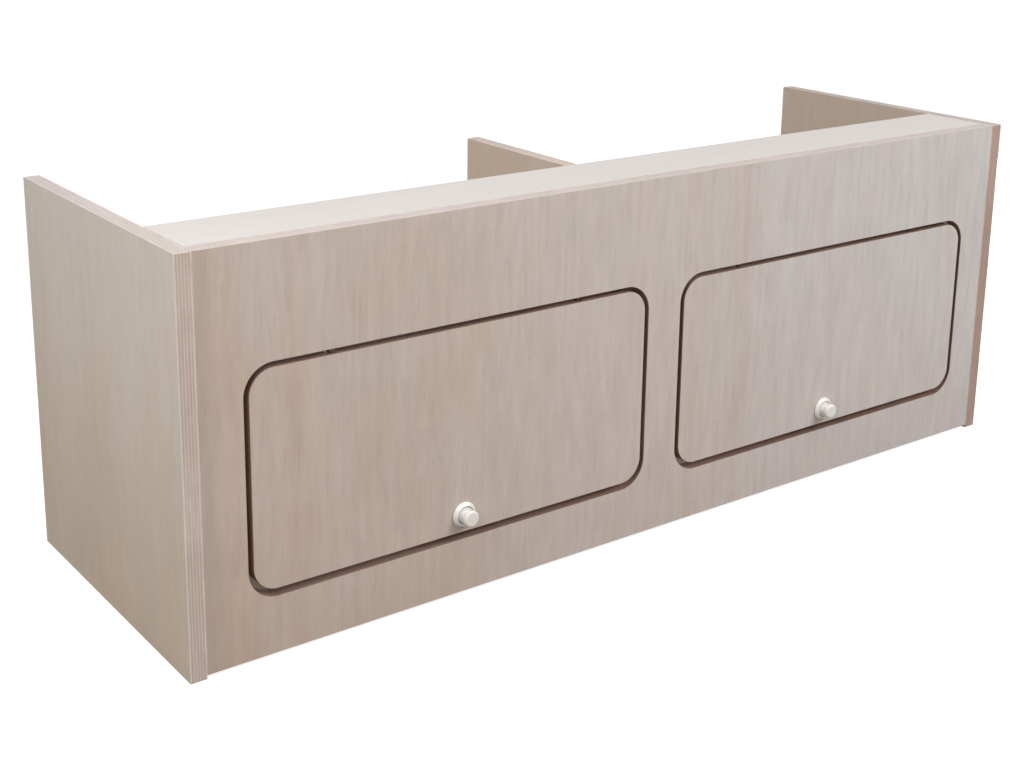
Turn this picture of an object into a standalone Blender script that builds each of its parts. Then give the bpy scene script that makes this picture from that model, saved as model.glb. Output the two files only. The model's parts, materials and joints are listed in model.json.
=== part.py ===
"""Campervan overhead cabinet in whitewashed plywood.

Two side panels and a centre divider stand on edge. A one-piece front panel, a top strip and a
floor board run between the sides. Two flush flap doors are cut from the front panel. Each door
hangs on concealed cylinder hinges, is held up by a telescopic friction stay, and is locked by a
push button that drives a bolt behind the front panel.

Lengths are in metres, +Z is up and the front faces -Y. The origin is the middle of the bottom of
the bounding box. A depth is measured backwards from the front panel's face.
"""

import math

import bmesh
import bpy
from mathutils import Matrix, Vector

# Carcass
CABINET_LENGTH = 1.000
CABINET_HEIGHT = 0.360
CABINET_DEPTH = 0.320
BOARD = 0.015
FRONT_LIFT = 0.0035
FLOOR_LIFT = 0.0085
STRIP_DEPTH = 0.090
EDGE_EASE = 0.0006

# Clearances shared by all pieces
SEAT_GAP = 0.0003
CUT_OVERRUN = 0.002

# Front panel's stiles and rails, and the doors between them
END_STILE = 0.0395
CENTRE_STILE = 0.041
LOWER_RAIL = 0.052
UPPER_RAIL = 0.101
OPENING_RADIUS = 0.027
DOOR_SIDE_GAP = 0.0045
DOOR_TOP_GAP = 0.0042
DOOR_BOTTOM_GAP = 0.0063

# Loose tongues and housings that join the boards
TONGUE_THICKNESS = 0.004
TONGUE_IN_FACE = 0.006
TONGUE_IN_EDGE = 0.012
TONGUE_MARGIN = 0.030
STRIP_TONGUE_MARGIN = 0.015
HOUSING_DEPTH = 0.005

# Cylinder hinges let into the top edge of each door and of its opening
HINGE_SPACING = 0.260
BARREL_RADIUS = 0.005
BARREL_LENGTH = 0.012
LINK_THICKNESS = 0.0034
LINK_WIDTH = 0.0035
LINK_REACH = 0.006
LINK_SETBACK = 0.0025
LINK_ROUND = 0.0012
SLOT_FRONT_GAP = 0.0007
SLOT_BACK_GAP = 0.0025
SLOT_END_GAP = 0.0005

# Push button lock, with its axis this far above the door's bottom edge
LOCK_RISE = 0.017
BUTTON_PROUD = 0.014
HEAD_RADIUS = 0.0077
HEAD_LENGTH = 0.0045
HEAD_ROUND = 0.002
HEAD_BACK_ROUND = 0.0008
NECK_RADIUS = 0.005
GUIDE_PROUD = 0.0044
GUIDE_SINK = 0.001
STEM_RADIUS = 0.004
CAM_DEPTH = 0.022
ROSETTE_RADIUS = 0.012
ROSETTE_HEIGHT = 0.0044
ROSETTE_RIM = 0.0016
ROSETTE_CREST = 0.0012
SLEEVE_WALL = 0.001
HEAD_GAP = 0.0005

# Lock case and bolt
CASE_HALF_LENGTH = 0.021
CASE_EAR = 0.009
CASE_FLANGE = 0.002
CASE_BLOCK = 0.022
CASE_DROP = 0.0155
CASE_RISE = 0.0245
CHANNEL_GAP = 0.0005
BOLT_WIDTH = 0.014
BOLT_THICKNESS = 0.012
NOSE_THICKNESS = 0.006
NOSE_LENGTH = 0.006
NOSE_BEVEL = 0.002
BOLT_PROUD = 0.0008

# Strike plate behind the lower rail, whose ears reach up behind the door and stop it
STRIKE_HEIGHT = 0.017
STRIKE_THICKNESS = 0.0015
STRIKE_DROP = 0.0005
STRIKE_SCREW_OFFSET = 0.020
EAR_CLEARANCE = 0.002
EAR_LENGTH = 0.009
EAR_OVERLAP = 0.006

# Screws
SCREW_RADIUS = 0.0016
SCREW_HEAD_RADIUS = 0.0032
SCREW_HEAD_HEIGHT = 0.0018
SCREW_TIP = 0.002
SCREW_LENGTH = 0.0115
SHORT_SCREW_LENGTH = 0.0085
SCREW_END_ROOM = 0.0005

# Telescopic stay. Drops are below the hinge axis, and the standoff is behind the door's back
STAY_OFFSET = 0.0345
ANCHOR_DEPTH = 0.040
ANCHOR_DROP = 0.022
PIVOT_STANDOFF = 0.019
PIVOT_DROP = 0.130
TUBE_RADIUS = 0.006
TUBE_START = 0.008
TUBE_PLUG = 0.006
TUBE_END_ROOM = 0.018
TUBE_NECK_RADIUS = 0.003
ROD_RADIUS = 0.004
ROD_START = 0.016
EYE_RADIUS = 0.005
EYE_THICKNESS = 0.006
PIN_RADIUS = 0.0025
PIN_HEAD_RADIUS = 0.004
PIN_HEAD_HEIGHT = 0.0015
COLLAR_RADIUS = 0.0045

# Brackets of the stay
PLATE_THICKNESS = 0.002
PLATE_DEPTH = 0.024
PLATE_HEIGHT = 0.040
PLATE_SCREW_OFFSET = 0.014
LUG_SIDE_GAP = 0.0025
LUG_TIP = 0.005
LUG_HALF_HEIGHT = 0.010
FOOT_LENGTH = 0.022
FOOT_SCREW_OFFSET = 0.0055
STUB_GAP = 0.0015

# Counts and angles
ROUND_STEPS = 16
SMALL_ROUND_STEPS = 12
BUTTON_STEPS = 24
CORNER_STEPS = 8
HEAD_STEPS = 4
SHARP_ANGLE = math.radians(35)

# Colours as linear red, green and blue, with roughness and metallic value
FINISHES = {
    "front_ply": ((0.44, 0.38, 0.33), 0.60, 0.0),
    "side_ply": ((0.47, 0.42, 0.37), 0.60, 0.0),
    "top_ply": ((0.72, 0.69, 0.66), 0.60, 0.0),
    "inner_ply": ((0.40, 0.33, 0.27), 0.65, 0.0),
    "tongue_birch": ((0.55, 0.42, 0.28), 0.70, 0.0),
    "white_plastic": ((0.80, 0.79, 0.76), 0.30, 0.0),
    "grey_plastic": ((0.18, 0.18, 0.18), 0.45, 0.0),
    "bright_steel": ((0.55, 0.55, 0.56), 0.35, 1.0),
    "dark_steel": ((0.09, 0.09, 0.095), 0.45, 1.0),
    "brass": ((0.60, 0.42, 0.18), 0.35, 1.0),
}

# Heights, depths and centres that follow from the sizes above
FRONT_Y = -(CABINET_DEPTH - BUTTON_PROUD) / 2
INNER_FACE = CABINET_LENGTH / 2 - BOARD
MIDDLE_OF_FRONT = FRONT_Y + BOARD / 2
BACK_OF_FRONT = BOARD + SEAT_GAP
FLOOR_BOTTOM = FRONT_LIFT + FLOOR_LIFT
FLOOR_TOP = FLOOR_BOTTOM + BOARD
STRIP_BOTTOM = CABINET_HEIGHT - BOARD
OPENING_LENGTH = INNER_FACE - END_STILE - CENTRE_STILE / 2
OPENING_CENTRE = (CENTRE_STILE + OPENING_LENGTH) / 2
OPENING_BOTTOM = FRONT_LIFT + LOWER_RAIL
OPENING_TOP = CABINET_HEIGHT - UPPER_RAIL
DOOR_LENGTH = OPENING_LENGTH - 2 * DOOR_SIDE_GAP
DOOR_BOTTOM = OPENING_BOTTOM + DOOR_BOTTOM_GAP
DOOR_TOP = OPENING_TOP - DOOR_TOP_GAP
HINGE_HEIGHT = OPENING_TOP - DOOR_TOP_GAP / 2
LOCK_HEIGHT = DOOR_BOTTOM + LOCK_RISE
SLEEVE_BORE = HEAD_RADIUS + HEAD_GAP
SLEEVE_RADIUS = SLEEVE_BORE + SLEEVE_WALL
BOLT_FRONT = BACK_OF_FRONT + CASE_FLANGE + CHANNEL_GAP
STAY_PLANE = BOARD / 2 + STAY_OFFSET
ANCHOR = Vector((0, FRONT_Y + ANCHOR_DEPTH, HINGE_HEIGHT - ANCHOR_DROP))
PIVOT = Vector((0, FRONT_Y + BOARD + PIVOT_STANDOFF, HINGE_HEIGHT - PIVOT_DROP))
STAY_LENGTH = (PIVOT - ANCHOR).length

X_AXIS = Vector((1, 0, 0))
Y_AXIS = Vector((0, 1, 0))
Z_AXIS = Vector((0, 0, 1))
FACING_FRONT = (math.pi / 2, 0, 0)
FACING_SIDE = (math.pi / 2, 0, math.pi / 2)
SIDES = {"left": -1, "right": 1}


def clear_scene():
    for item in list(bpy.data.objects):
        bpy.data.objects.remove(item, do_unlink=True)


def new_collection(name):
    collection = bpy.data.collections.new(name)
    bpy.context.scene.collection.children.link(collection)
    return collection


def new_material(name):
    colour, roughness, metallic = FINISHES[name]
    material = bpy.data.materials.new(name)
    material.use_nodes = True
    shader = material.node_tree.nodes["Principled BSDF"]
    shader.inputs["Base Color"].default_value = (*colour, 1.0)
    shader.inputs["Roughness"].default_value = roughness
    shader.inputs["Metallic"].default_value = metallic
    material.diffuse_color = (*colour, 1.0)
    return material


def place(mesh, name, finish=None, matrix=None):
    """Makes an object of a mesh. Without a finish it is a cutter."""
    item = bpy.data.objects.new(name, mesh)
    if matrix is not None:
        item.matrix_world = matrix
    if finish is None:
        cutter_collection.objects.link(item)
        item.hide_render = True
        item.display_type = "WIRE"
    else:
        part_collection.objects.link(item)
        mesh.materials.clear()
        mesh.materials.append(materials[finish])
    return item


def finished_mesh(form, name):
    form.normal_update()
    mesh = bpy.data.meshes.new(name)
    form.to_mesh(mesh)
    form.free()
    return mesh


def turn_towards(direction):
    return Z_AXIS.rotation_difference(direction).to_matrix().to_4x4()


def box_mesh(size, name):
    form = bmesh.new()
    bmesh.ops.create_cube(form, size=1.0, matrix=Matrix.Diagonal((*size, 1.0)))
    return finished_mesh(form, name)


def box(name, low, high, finish=None):
    low, high = Vector(low), Vector(high)
    return place(box_mesh(high - low, name), name, finish, Matrix.Translation((low + high) / 2))


def rod(name, start, end, radius, finish=None, steps=SMALL_ROUND_STEPS):
    """A cylinder from a start point to an end point."""
    start, end = Vector(start), Vector(end)
    form = bmesh.new()
    bmesh.ops.create_cone(
        form,
        cap_ends=True,
        segments=steps,
        radius1=radius,
        radius2=radius,
        depth=(end - start).length,
    )
    spot = Matrix.Translation((start + end) / 2) @ turn_towards((end - start).normalized())
    return smooth(place(finished_mesh(form, name), name, finish, spot))


def smooth(item):
    item.data.shade_smooth()
    item.data.set_sharp_from_angle(angle=SHARP_ANGLE)
    return item


def cut(item, cutter, operation="DIFFERENCE"):
    change = item.modifiers.new(cutter.name, "BOOLEAN")
    change.operation = operation
    change.object = cutter
    change.solver = "EXACT"


def evaluated_mesh(item):
    graph = bpy.context.evaluated_depsgraph_get()
    graph.update()
    return bpy.data.meshes.new_from_object(item.evaluated_get(graph))


def move_origin(item, spot):
    """Moves an object's origin and keeps its shape where it is."""
    matrix = Matrix.Translation(spot)
    item.data.transform(matrix.inverted() @ item.matrix_world)
    item.matrix_world = matrix


def rounded_outline(length, height, radius):
    """Points round a rectangle with round corners, centred on zero."""
    points = []
    for quarter, (right, up) in enumerate(((1, 1), (-1, 1), (-1, -1), (1, -1))):
        centre_x = right * (length / 2 - radius)
        centre_z = up * (height / 2 - radius)
        for step in range(CORNER_STEPS + 1):
            angle = (quarter + step / CORNER_STEPS) * math.pi / 2
            points.append((centre_x + radius * math.cos(angle), centre_z + radius * math.sin(angle)))
    return points


def flat_plate(name, outline, thickness, centre, turn=(0, 0, 0), finish=None):
    """A flat outline given an even thickness, as a mesh."""
    curve = bpy.data.curves.new(name + "_outline", "CURVE")
    curve.dimensions = "2D"
    curve.fill_mode = "BOTH"
    curve.extrude = thickness / 2
    spline = curve.splines.new("POLY")
    spline.points.add(len(outline) - 1)
    for point, (across, along) in zip(spline.points, outline):
        point.co = (across, along, 0, 1)
    spline.use_cyclic_u = True
    source = bpy.data.objects.new(name + "_outline", curve)
    cutter_collection.objects.link(source)
    source.location = centre
    source.rotation_euler = turn
    mesh = evaluated_mesh(source)
    form = bmesh.new()
    form.from_mesh(mesh)
    bmesh.ops.remove_doubles(form, verts=form.verts, dist=SEAT_GAP / 30)
    bmesh.ops.recalc_face_normals(form, faces=form.faces)
    form.to_mesh(mesh)
    form.free()
    matrix = source.matrix_world.copy()
    bpy.data.objects.remove(source, do_unlink=True)
    return place(mesh, name, finish, matrix)


def turned(name, profile, origin, direction, finish=None, steps=ROUND_STEPS, ring=False):
    """Turns a profile of radius and height pairs about a line from the origin in a direction."""
    form = bmesh.new()
    points = [form.verts.new((radius, 0, height)) for radius, height in profile]
    pairs = list(zip(points, points[1:]))
    if ring:
        pairs.append((points[-1], points[0]))
    for first, second in pairs:
        form.edges.new((first, second))
    source = place(finished_mesh(form, name + "_profile"), name + "_profile")
    screw = source.modifiers.new("Turn", "SCREW")
    screw.axis = "Z"
    screw.steps = steps
    screw.render_steps = steps
    screw.use_merge_vertices = True
    screw.merge_threshold = SEAT_GAP / 30
    mesh = evaluated_mesh(source)
    bpy.data.objects.remove(source, do_unlink=True)
    matrix = Matrix.Translation(origin) @ turn_towards(direction)
    return smooth(place(mesh, name, finish, matrix))


def board(name, low, high, finish):
    item = box(name, low, high, finish)
    ease = item.modifiers.new("Eased edges", "BEVEL")
    ease.width = EDGE_EASE
    ease.segments = 1
    ease.limit_method = "ANGLE"
    return item


def tongue(name, low, high, boards):
    """A loose tongue glued into a groove in each of the two boards that it joins."""
    room = Vector((SEAT_GAP, SEAT_GAP, SEAT_GAP))
    box(name, low, high, "tongue_birch")
    groove = box(name + "_groove", Vector(low) - room, Vector(high) + room)
    for item in boards:
        cut(item, groove)


def screw_mesh(length):
    """A pan head screw, its seat at zero and its head towards +Z."""
    profile = [
        (0, SCREW_HEAD_HEIGHT),
        (SCREW_HEAD_RADIUS / 2, SCREW_HEAD_HEIGHT),
        (SCREW_HEAD_RADIUS, SCREW_HEAD_HEIGHT / 2),
        (SCREW_HEAD_RADIUS, 0),
        (SCREW_RADIUS, 0),
        (SCREW_RADIUS, SCREW_TIP - length),
        (0, -length),
    ]
    shape = turned("screw_shape", profile, Vector(), Z_AXIS, steps=SMALL_ROUND_STEPS)
    mesh = shape.data
    bpy.data.objects.remove(shape, do_unlink=True)
    return mesh


def fasten(seats, direction, length, items, finish="bright_steel"):
    """Puts a screw on each named seat, its head facing the direction, and bores the items."""
    mesh = screw_mesh(length)
    for name, seat in seats.items():
        spot = Matrix.Translation(seat + direction * SEAT_GAP) @ turn_towards(direction)
        place(mesh, name, finish, spot)
        start = seat + direction * CUT_OVERRUN
        end = seat - direction * (length + SCREW_END_ROOM)
        hole = rod(name + "_hole", start, end, SCREW_RADIUS + SEAT_GAP)
        for item in items:
            cut(item, hole)


def make_carcass():
    """The six boards, keyed by their node names."""
    half = CABINET_LENGTH / 2
    back = FRONT_Y + CABINET_DEPTH
    behind = FRONT_Y + BACK_OF_FRONT
    run = INNER_FACE - SEAT_GAP
    housed = INNER_FACE + HOUSING_DEPTH
    foot = FLOOR_TOP - HOUSING_DEPTH
    spans = {
        "left_side_panel": ((-half, FRONT_Y, 0), (-INNER_FACE, back, CABINET_HEIGHT), "side_ply"),
        "right_side_panel": ((INNER_FACE, FRONT_Y, 0), (half, back, CABINET_HEIGHT), "side_ply"),
        "front_panel": (
            (-run, FRONT_Y, FRONT_LIFT),
            (run, FRONT_Y + BOARD, CABINET_HEIGHT),
            "front_ply",
        ),
        "top_strip": (
            (-run, behind, STRIP_BOTTOM),
            (run, FRONT_Y + STRIP_DEPTH, CABINET_HEIGHT),
            "top_ply",
        ),
        "floor_board": ((-housed, behind, FLOOR_BOTTOM), (housed, back, FLOOR_TOP), "inner_ply"),
        "centre_divider": (
            (-BOARD / 2, behind, foot),
            (BOARD / 2, back, STRIP_BOTTOM - SEAT_GAP),
            "inner_ply",
        ),
    }
    return {name: board(name, *span) for name, span in spans.items()}


def cut_housings(boards):
    """Grooves that take the floor's ends and the divider's foot."""
    back = FRONT_Y + CABINET_DEPTH + CUT_OVERRUN
    bottom = FLOOR_BOTTOM - SEAT_GAP
    top = FLOOR_TOP + SEAT_GAP
    end = INNER_FACE + HOUSING_DEPTH + SEAT_GAP
    start = INNER_FACE - CUT_OVERRUN
    for side, sign in SIDES.items():
        low_x, high_x = sorted((sign * start, sign * end))
        low = (low_x, FRONT_Y + BOARD, bottom)
        cut(boards[side + "_side_panel"], box(side + "_floor_housing", low, (high_x, back, top)))
    half = BOARD / 2 + SEAT_GAP
    low = (-half, FRONT_Y + BOARD - CUT_OVERRUN, FLOOR_TOP - HOUSING_DEPTH - SEAT_GAP)
    cut(boards["floor_board"], box("divider_housing", low, (half, back, FLOOR_TOP + CUT_OVERRUN)))


def add_tongues(boards):
    """Loose tongues between the front panel, the top strip and their neighbours."""
    front, strip, floor = (boards[name] for name in ("front_panel", "top_strip", "floor_board"))
    half = TONGUE_THICKNESS / 2
    middle_of_strip = CABINET_HEIGHT - BOARD / 2
    middle_of_floor = FLOOR_BOTTOM + BOARD / 2
    for side, sign in SIDES.items():
        panel = boards[side + "_side_panel"]
        reach = (sign * (INNER_FACE - TONGUE_IN_EDGE), sign * (INNER_FACE + TONGUE_IN_FACE))
        low_x, high_x = sorted(reach)
        tongue(
            side + "_front_end_tongue",
            (low_x, MIDDLE_OF_FRONT - half, FRONT_LIFT + TONGUE_MARGIN),
            (high_x, MIDDLE_OF_FRONT + half, CABINET_HEIGHT - TONGUE_MARGIN),
            (panel, front),
        )
        tongue(
            side + "_strip_end_tongue",
            (low_x, FRONT_Y + BOARD + STRIP_TONGUE_MARGIN, middle_of_strip - half),
            (high_x, FRONT_Y + STRIP_DEPTH - STRIP_TONGUE_MARGIN, middle_of_strip + half),
            (panel, strip),
        )
    end = INNER_FACE - TONGUE_MARGIN
    near = FRONT_Y + BOARD - TONGUE_IN_FACE
    far = FRONT_Y + BOARD + TONGUE_IN_EDGE
    for name, height, item in (
        ("front_to_strip_tongue", middle_of_strip, strip),
        ("front_to_floor_tongue", middle_of_floor, floor),
    ):
        tongue(name, (-end, near, height - half), (end, far, height + half), (front, item))


def cut_openings(front):
    height = OPENING_TOP - OPENING_BOTTOM
    outline = rounded_outline(OPENING_LENGTH, height, OPENING_RADIUS)
    for side, sign in SIDES.items():
        middle = (sign * OPENING_CENTRE, MIDDLE_OF_FRONT, (OPENING_BOTTOM + OPENING_TOP) / 2)
        through = BOARD + 2 * CUT_OVERRUN
        cut(front, flat_plate(side + "_opening", outline, through, middle, FACING_FRONT))


def make_door(side, sign):
    """A door with its origin on its hinge axis."""
    outline = rounded_outline(DOOR_LENGTH, DOOR_TOP - DOOR_BOTTOM, OPENING_RADIUS - DOOR_SIDE_GAP)
    middle = (sign * OPENING_CENTRE, MIDDLE_OF_FRONT, (DOOR_BOTTOM + DOOR_TOP) / 2)
    door = flat_plate(side + "_door_panel", outline, BOARD, middle, FACING_FRONT, "front_ply")
    move_origin(door, (sign * OPENING_CENTRE, FRONT_Y, HINGE_HEIGHT))
    return door


def make_hinges(side, sign, front, door):
    """Two cylinder hinges, each a barrel in either edge and a link across the gap."""
    for place_name, inward in (("inner", -1), ("outer", 1)):
        x = sign * (OPENING_CENTRE + inward * HINGE_SPACING / 2)
        stem = side + "_" + place_name + "_hinge_"
        make_barrel(stem + "upper_barrel", x, 1, front)
        make_barrel(stem + "lower_barrel", x, -1, door)
        outline = rounded_outline(LINK_WIDTH, 2 * LINK_REACH, LINK_ROUND)
        middle_y = MIDDLE_OF_FRONT - LINK_SETBACK + LINK_WIDTH / 2
        centre = (x, middle_y, HINGE_HEIGHT)
        link = flat_plate(stem + "link", outline, LINK_THICKNESS, centre, FACING_SIDE, "dark_steel")
        move_origin(link, (x, FRONT_Y, HINGE_HEIGHT))


def make_barrel(name, x, up, item):
    """A slotted barrel let into an edge. Up is 1 over the gap and -1 under it."""
    rise = Z_AXIS * up
    foot = Vector((x, MIDDLE_OF_FRONT, HINGE_HEIGHT)) + rise * DOOR_TOP_GAP / 2
    end = foot + rise * BARREL_LENGTH
    barrel = rod(name, foot, end, BARREL_RADIUS, "brass", ROUND_STEPS)
    half_slot = LINK_THICKNESS / 2 + SEAT_GAP
    link_front = MIDDLE_OF_FRONT - LINK_SETBACK
    slot_end = HINGE_HEIGHT + up * (LINK_REACH + SLOT_END_GAP)
    low_z, high_z = sorted((foot.z - up * CUT_OVERRUN, slot_end))
    slot = box(
        name + "_slot",
        (x - half_slot, link_front - SLOT_FRONT_GAP, low_z),
        (x + half_slot, link_front + LINK_WIDTH + SLOT_BACK_GAP, high_z),
    )
    cut(barrel, slot)
    start = foot - rise * CUT_OVERRUN
    past_end = end + rise * SEAT_GAP
    cut(item, rod(name + "_bore", start, past_end, BARREL_RADIUS + SEAT_GAP, steps=ROUND_STEPS))


def make_rosette(side, axis_point):
    profile = [
        (SLEEVE_BORE, ROSETTE_HEIGHT - SLEEVE_WALL),
        (SLEEVE_RADIUS, ROSETTE_HEIGHT),
        (SLEEVE_RADIUS + ROSETTE_CREST, ROSETTE_HEIGHT - SLEEVE_WALL / 2),
        (ROSETTE_RADIUS, ROSETTE_RIM),
        (ROSETTE_RADIUS, SEAT_GAP),
        (SLEEVE_RADIUS, SEAT_GAP),
        (SLEEVE_RADIUS, SEAT_GAP - BOARD),
        (SLEEVE_BORE, SEAT_GAP - BOARD),
    ]
    name = side + "_lock_rosette"
    turned(name, profile, axis_point, -Y_AXIS, "white_plastic", BUTTON_STEPS, ring=True)


def make_button(side, axis_point):
    """Knob, neck, guide and stem in one, the stem's end cut at 45 degrees to drive the bolt."""
    head_back = BUTTON_PROUD - HEAD_LENGTH
    stem_end = -CAM_DEPTH - 2 * STEM_RADIUS
    profile = [(0, BUTTON_PROUD)]
    for step in range(HEAD_STEPS + 1):
        angle = math.pi / 2 * (1 - step / HEAD_STEPS)
        across = HEAD_RADIUS - HEAD_ROUND * (1 - math.cos(angle))
        profile.append((across, BUTTON_PROUD - HEAD_ROUND * (1 - math.sin(angle))))
    profile += [
        (HEAD_RADIUS, head_back + HEAD_BACK_ROUND),
        (HEAD_RADIUS - HEAD_BACK_ROUND, head_back),
        (NECK_RADIUS, head_back),
        (NECK_RADIUS, GUIDE_PROUD),
        (HEAD_RADIUS, GUIDE_PROUD),
        (HEAD_RADIUS, -GUIDE_SINK),
        (STEM_RADIUS, -GUIDE_SINK),
        (STEM_RADIUS, stem_end),
        (0, stem_end),
    ]
    name = side + "_lock_button"
    button = turned(name, profile, axis_point, -Y_AXIS, "white_plastic", BUTTON_STEPS)
    size = 6 * STEM_RADIUS
    slope = (Y_AXIS - Z_AXIS).normalized()
    middle = axis_point + Y_AXIS * CAM_DEPTH + slope * size / 2
    spot = Matrix.Translation(middle) @ turn_towards(slope)
    cut(button, place(box_mesh((size, size, size), name), name + "_ramp", matrix=spot))


def make_bolt(side, axis_point):
    """A bar with a 45 degree ramp on top that the stem's end pushes down."""
    front = BOLT_FRONT
    back = BOLT_FRONT + BOLT_THICKNESS
    nose_back = front + NOSE_THICKNESS
    tip = -LOCK_RISE - BOLT_PROUD
    ramp_offset = CAM_DEPTH + SEAT_GAP * math.sqrt(2)
    outline = [
        (front, tip),
        (nose_back - NOSE_BEVEL, tip),
        (nose_back, tip + NOSE_BEVEL),
        (nose_back, tip + NOSE_LENGTH),
        (back, tip + NOSE_LENGTH),
        (back, back - ramp_offset),
        (front, front - ramp_offset),
    ]
    flat_plate(
        side + "_lock_bolt", outline, BOLT_WIDTH, axis_point, FACING_SIDE, "bright_steel"
    )


def make_case(side, axis_point, door):
    """A hat section that holds the stem and the bolt, screwed on through its two ears."""
    ear_end = CASE_HALF_LENGTH + CASE_EAR
    outline = [
        (-ear_end, 0),
        (ear_end, 0),
        (ear_end, CASE_FLANGE),
        (CASE_HALF_LENGTH, CASE_FLANGE),
        (CASE_HALF_LENGTH, CASE_BLOCK),
        (-CASE_HALF_LENGTH, CASE_BLOCK),
        (-CASE_HALF_LENGTH, CASE_FLANGE),
        (-ear_end, CASE_FLANGE),
    ]
    seat = axis_point + Y_AXIS * BACK_OF_FRONT
    middle = seat + Z_AXIS * (CASE_RISE - CASE_DROP) / 2
    name = side + "_lock_case"
    case = flat_plate(name, outline, CASE_DROP + CASE_RISE, middle, finish="grey_plastic")
    half_channel = BOLT_WIDTH / 2 + CHANNEL_GAP
    bolt_back = BOLT_FRONT + BOLT_THICKNESS
    low = Vector((-half_channel, BOLT_FRONT - CHANNEL_GAP, -CASE_DROP - CUT_OVERRUN))
    high = Vector((half_channel, bolt_back + CHANNEL_GAP, bolt_back - CAM_DEPTH + CHANNEL_GAP))
    cut(case, box(name + "_channel", axis_point + low, axis_point + high))
    start = seat - Y_AXIS * CUT_OVERRUN
    end = seat + Y_AXIS * (CASE_BLOCK + CUT_OVERRUN)
    cut(case, rod(name + "_bore", start, end, STEM_RADIUS + CHANNEL_GAP, steps=ROUND_STEPS))
    seats = {}
    for place_name, across in (("left", -1), ("right", 1)):
        offset = X_AXIS * across * (CASE_HALF_LENGTH + CASE_EAR / 2)
        seats[f"{name}_{place_name}_screw"] = middle + offset + Y_AXIS * CASE_FLANGE
    fasten(seats, Y_AXIS, SCREW_LENGTH, (case, door))


def make_lock(side, sign, door):
    axis_point = Vector((sign * OPENING_CENTRE, FRONT_Y, LOCK_HEIGHT))
    make_rosette(side, axis_point)
    make_button(side, axis_point)
    make_bolt(side, axis_point)
    make_case(side, axis_point, door)
    start = axis_point - Y_AXIS * CUT_OVERRUN
    end = axis_point + Y_AXIS * (BOARD + CUT_OVERRUN)
    radius = SLEEVE_RADIUS + SEAT_GAP
    cut(door, rod(side + "_rosette_bore", start, end, radius, steps=BUTTON_STEPS))


def make_strike(side, sign, front):
    """A plate that the bolt drops behind, with two ears that the closed door rests against."""
    ear_start = CASE_HALF_LENGTH + CASE_EAR + EAR_CLEARANCE
    ear_end = ear_start + EAR_LENGTH
    plate_top = OPENING_BOTTOM - STRIKE_DROP
    plate_bottom = plate_top - STRIKE_HEIGHT
    ear_top = DOOR_BOTTOM + EAR_OVERLAP
    outline = [
        (-ear_end, plate_bottom),
        (ear_end, plate_bottom),
        (ear_end, ear_top),
        (ear_start, ear_top),
        (ear_start, plate_top),
        (-ear_start, plate_top),
        (-ear_start, ear_top),
        (-ear_end, ear_top),
    ]
    depth = BACK_OF_FRONT + STRIKE_THICKNESS / 2
    middle = (sign * OPENING_CENTRE, FRONT_Y + depth, 0)
    name = side + "_strike_plate"
    plate = flat_plate(name, outline, STRIKE_THICKNESS, middle, FACING_FRONT, "bright_steel")
    seats = {}
    for place_name, across in (("left", -1), ("right", 1)):
        x = sign * OPENING_CENTRE + across * STRIKE_SCREW_OFFSET
        y = FRONT_Y + BACK_OF_FRONT + STRIKE_THICKNESS
        seats[f"{side}_strike_{place_name}_screw"] = Vector((x, y, (plate_top + plate_bottom) / 2))
    fasten(seats, Y_AXIS, SCREW_LENGTH, (plate, front))


def make_stay(side, sign, door, divider):
    """Tube and rod between a stud on the divider and a bracket on the door."""
    anchor = ANCHOR + X_AXIS * sign * STAY_PLANE
    pivot = PIVOT + X_AXIS * sign * STAY_PLANE
    along = (pivot - anchor).normalized()
    half_eye = X_AXIS * EYE_THICKNESS / 2
    past_eye = half_eye + X_AXIS * CUT_OVERRUN
    tube_bore = ROD_RADIUS + SEAT_GAP
    tube_end = STAY_LENGTH - TUBE_END_ROOM
    rod_end = ROD_START - STAY_LENGTH
    tube_profile = [
        (0, TUBE_START + TUBE_PLUG),
        (tube_bore, TUBE_START + TUBE_PLUG),
        (tube_bore, tube_end),
        (TUBE_RADIUS, tube_end),
        (TUBE_RADIUS, TUBE_START),
        (TUBE_NECK_RADIUS, TUBE_START),
        (TUBE_NECK_RADIUS, 0),
        (0, 0),
    ]
    rod_profile = [(0, 0), (ROD_RADIUS, 0), (ROD_RADIUS, rod_end), (0, rod_end)]
    tube = turned(side + "_stay_tube", tube_profile, anchor, along, "grey_plastic")
    bar = turned(side + "_stay_rod", rod_profile, pivot, along, "bright_steel")
    for piece, centre in ((tube, anchor), (bar, pivot)):
        name = piece.name
        cut(piece, rod(name + "_eye", centre - half_eye, centre + half_eye, EYE_RADIUS), "UNION")
        hole_radius = PIN_RADIUS + SEAT_GAP
        cut(piece, rod(name + "_hole", centre - past_eye, centre + past_eye, hole_radius))
    make_divider_bracket(side, sign, anchor, divider)
    make_door_bracket(side, sign, pivot, door)


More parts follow.
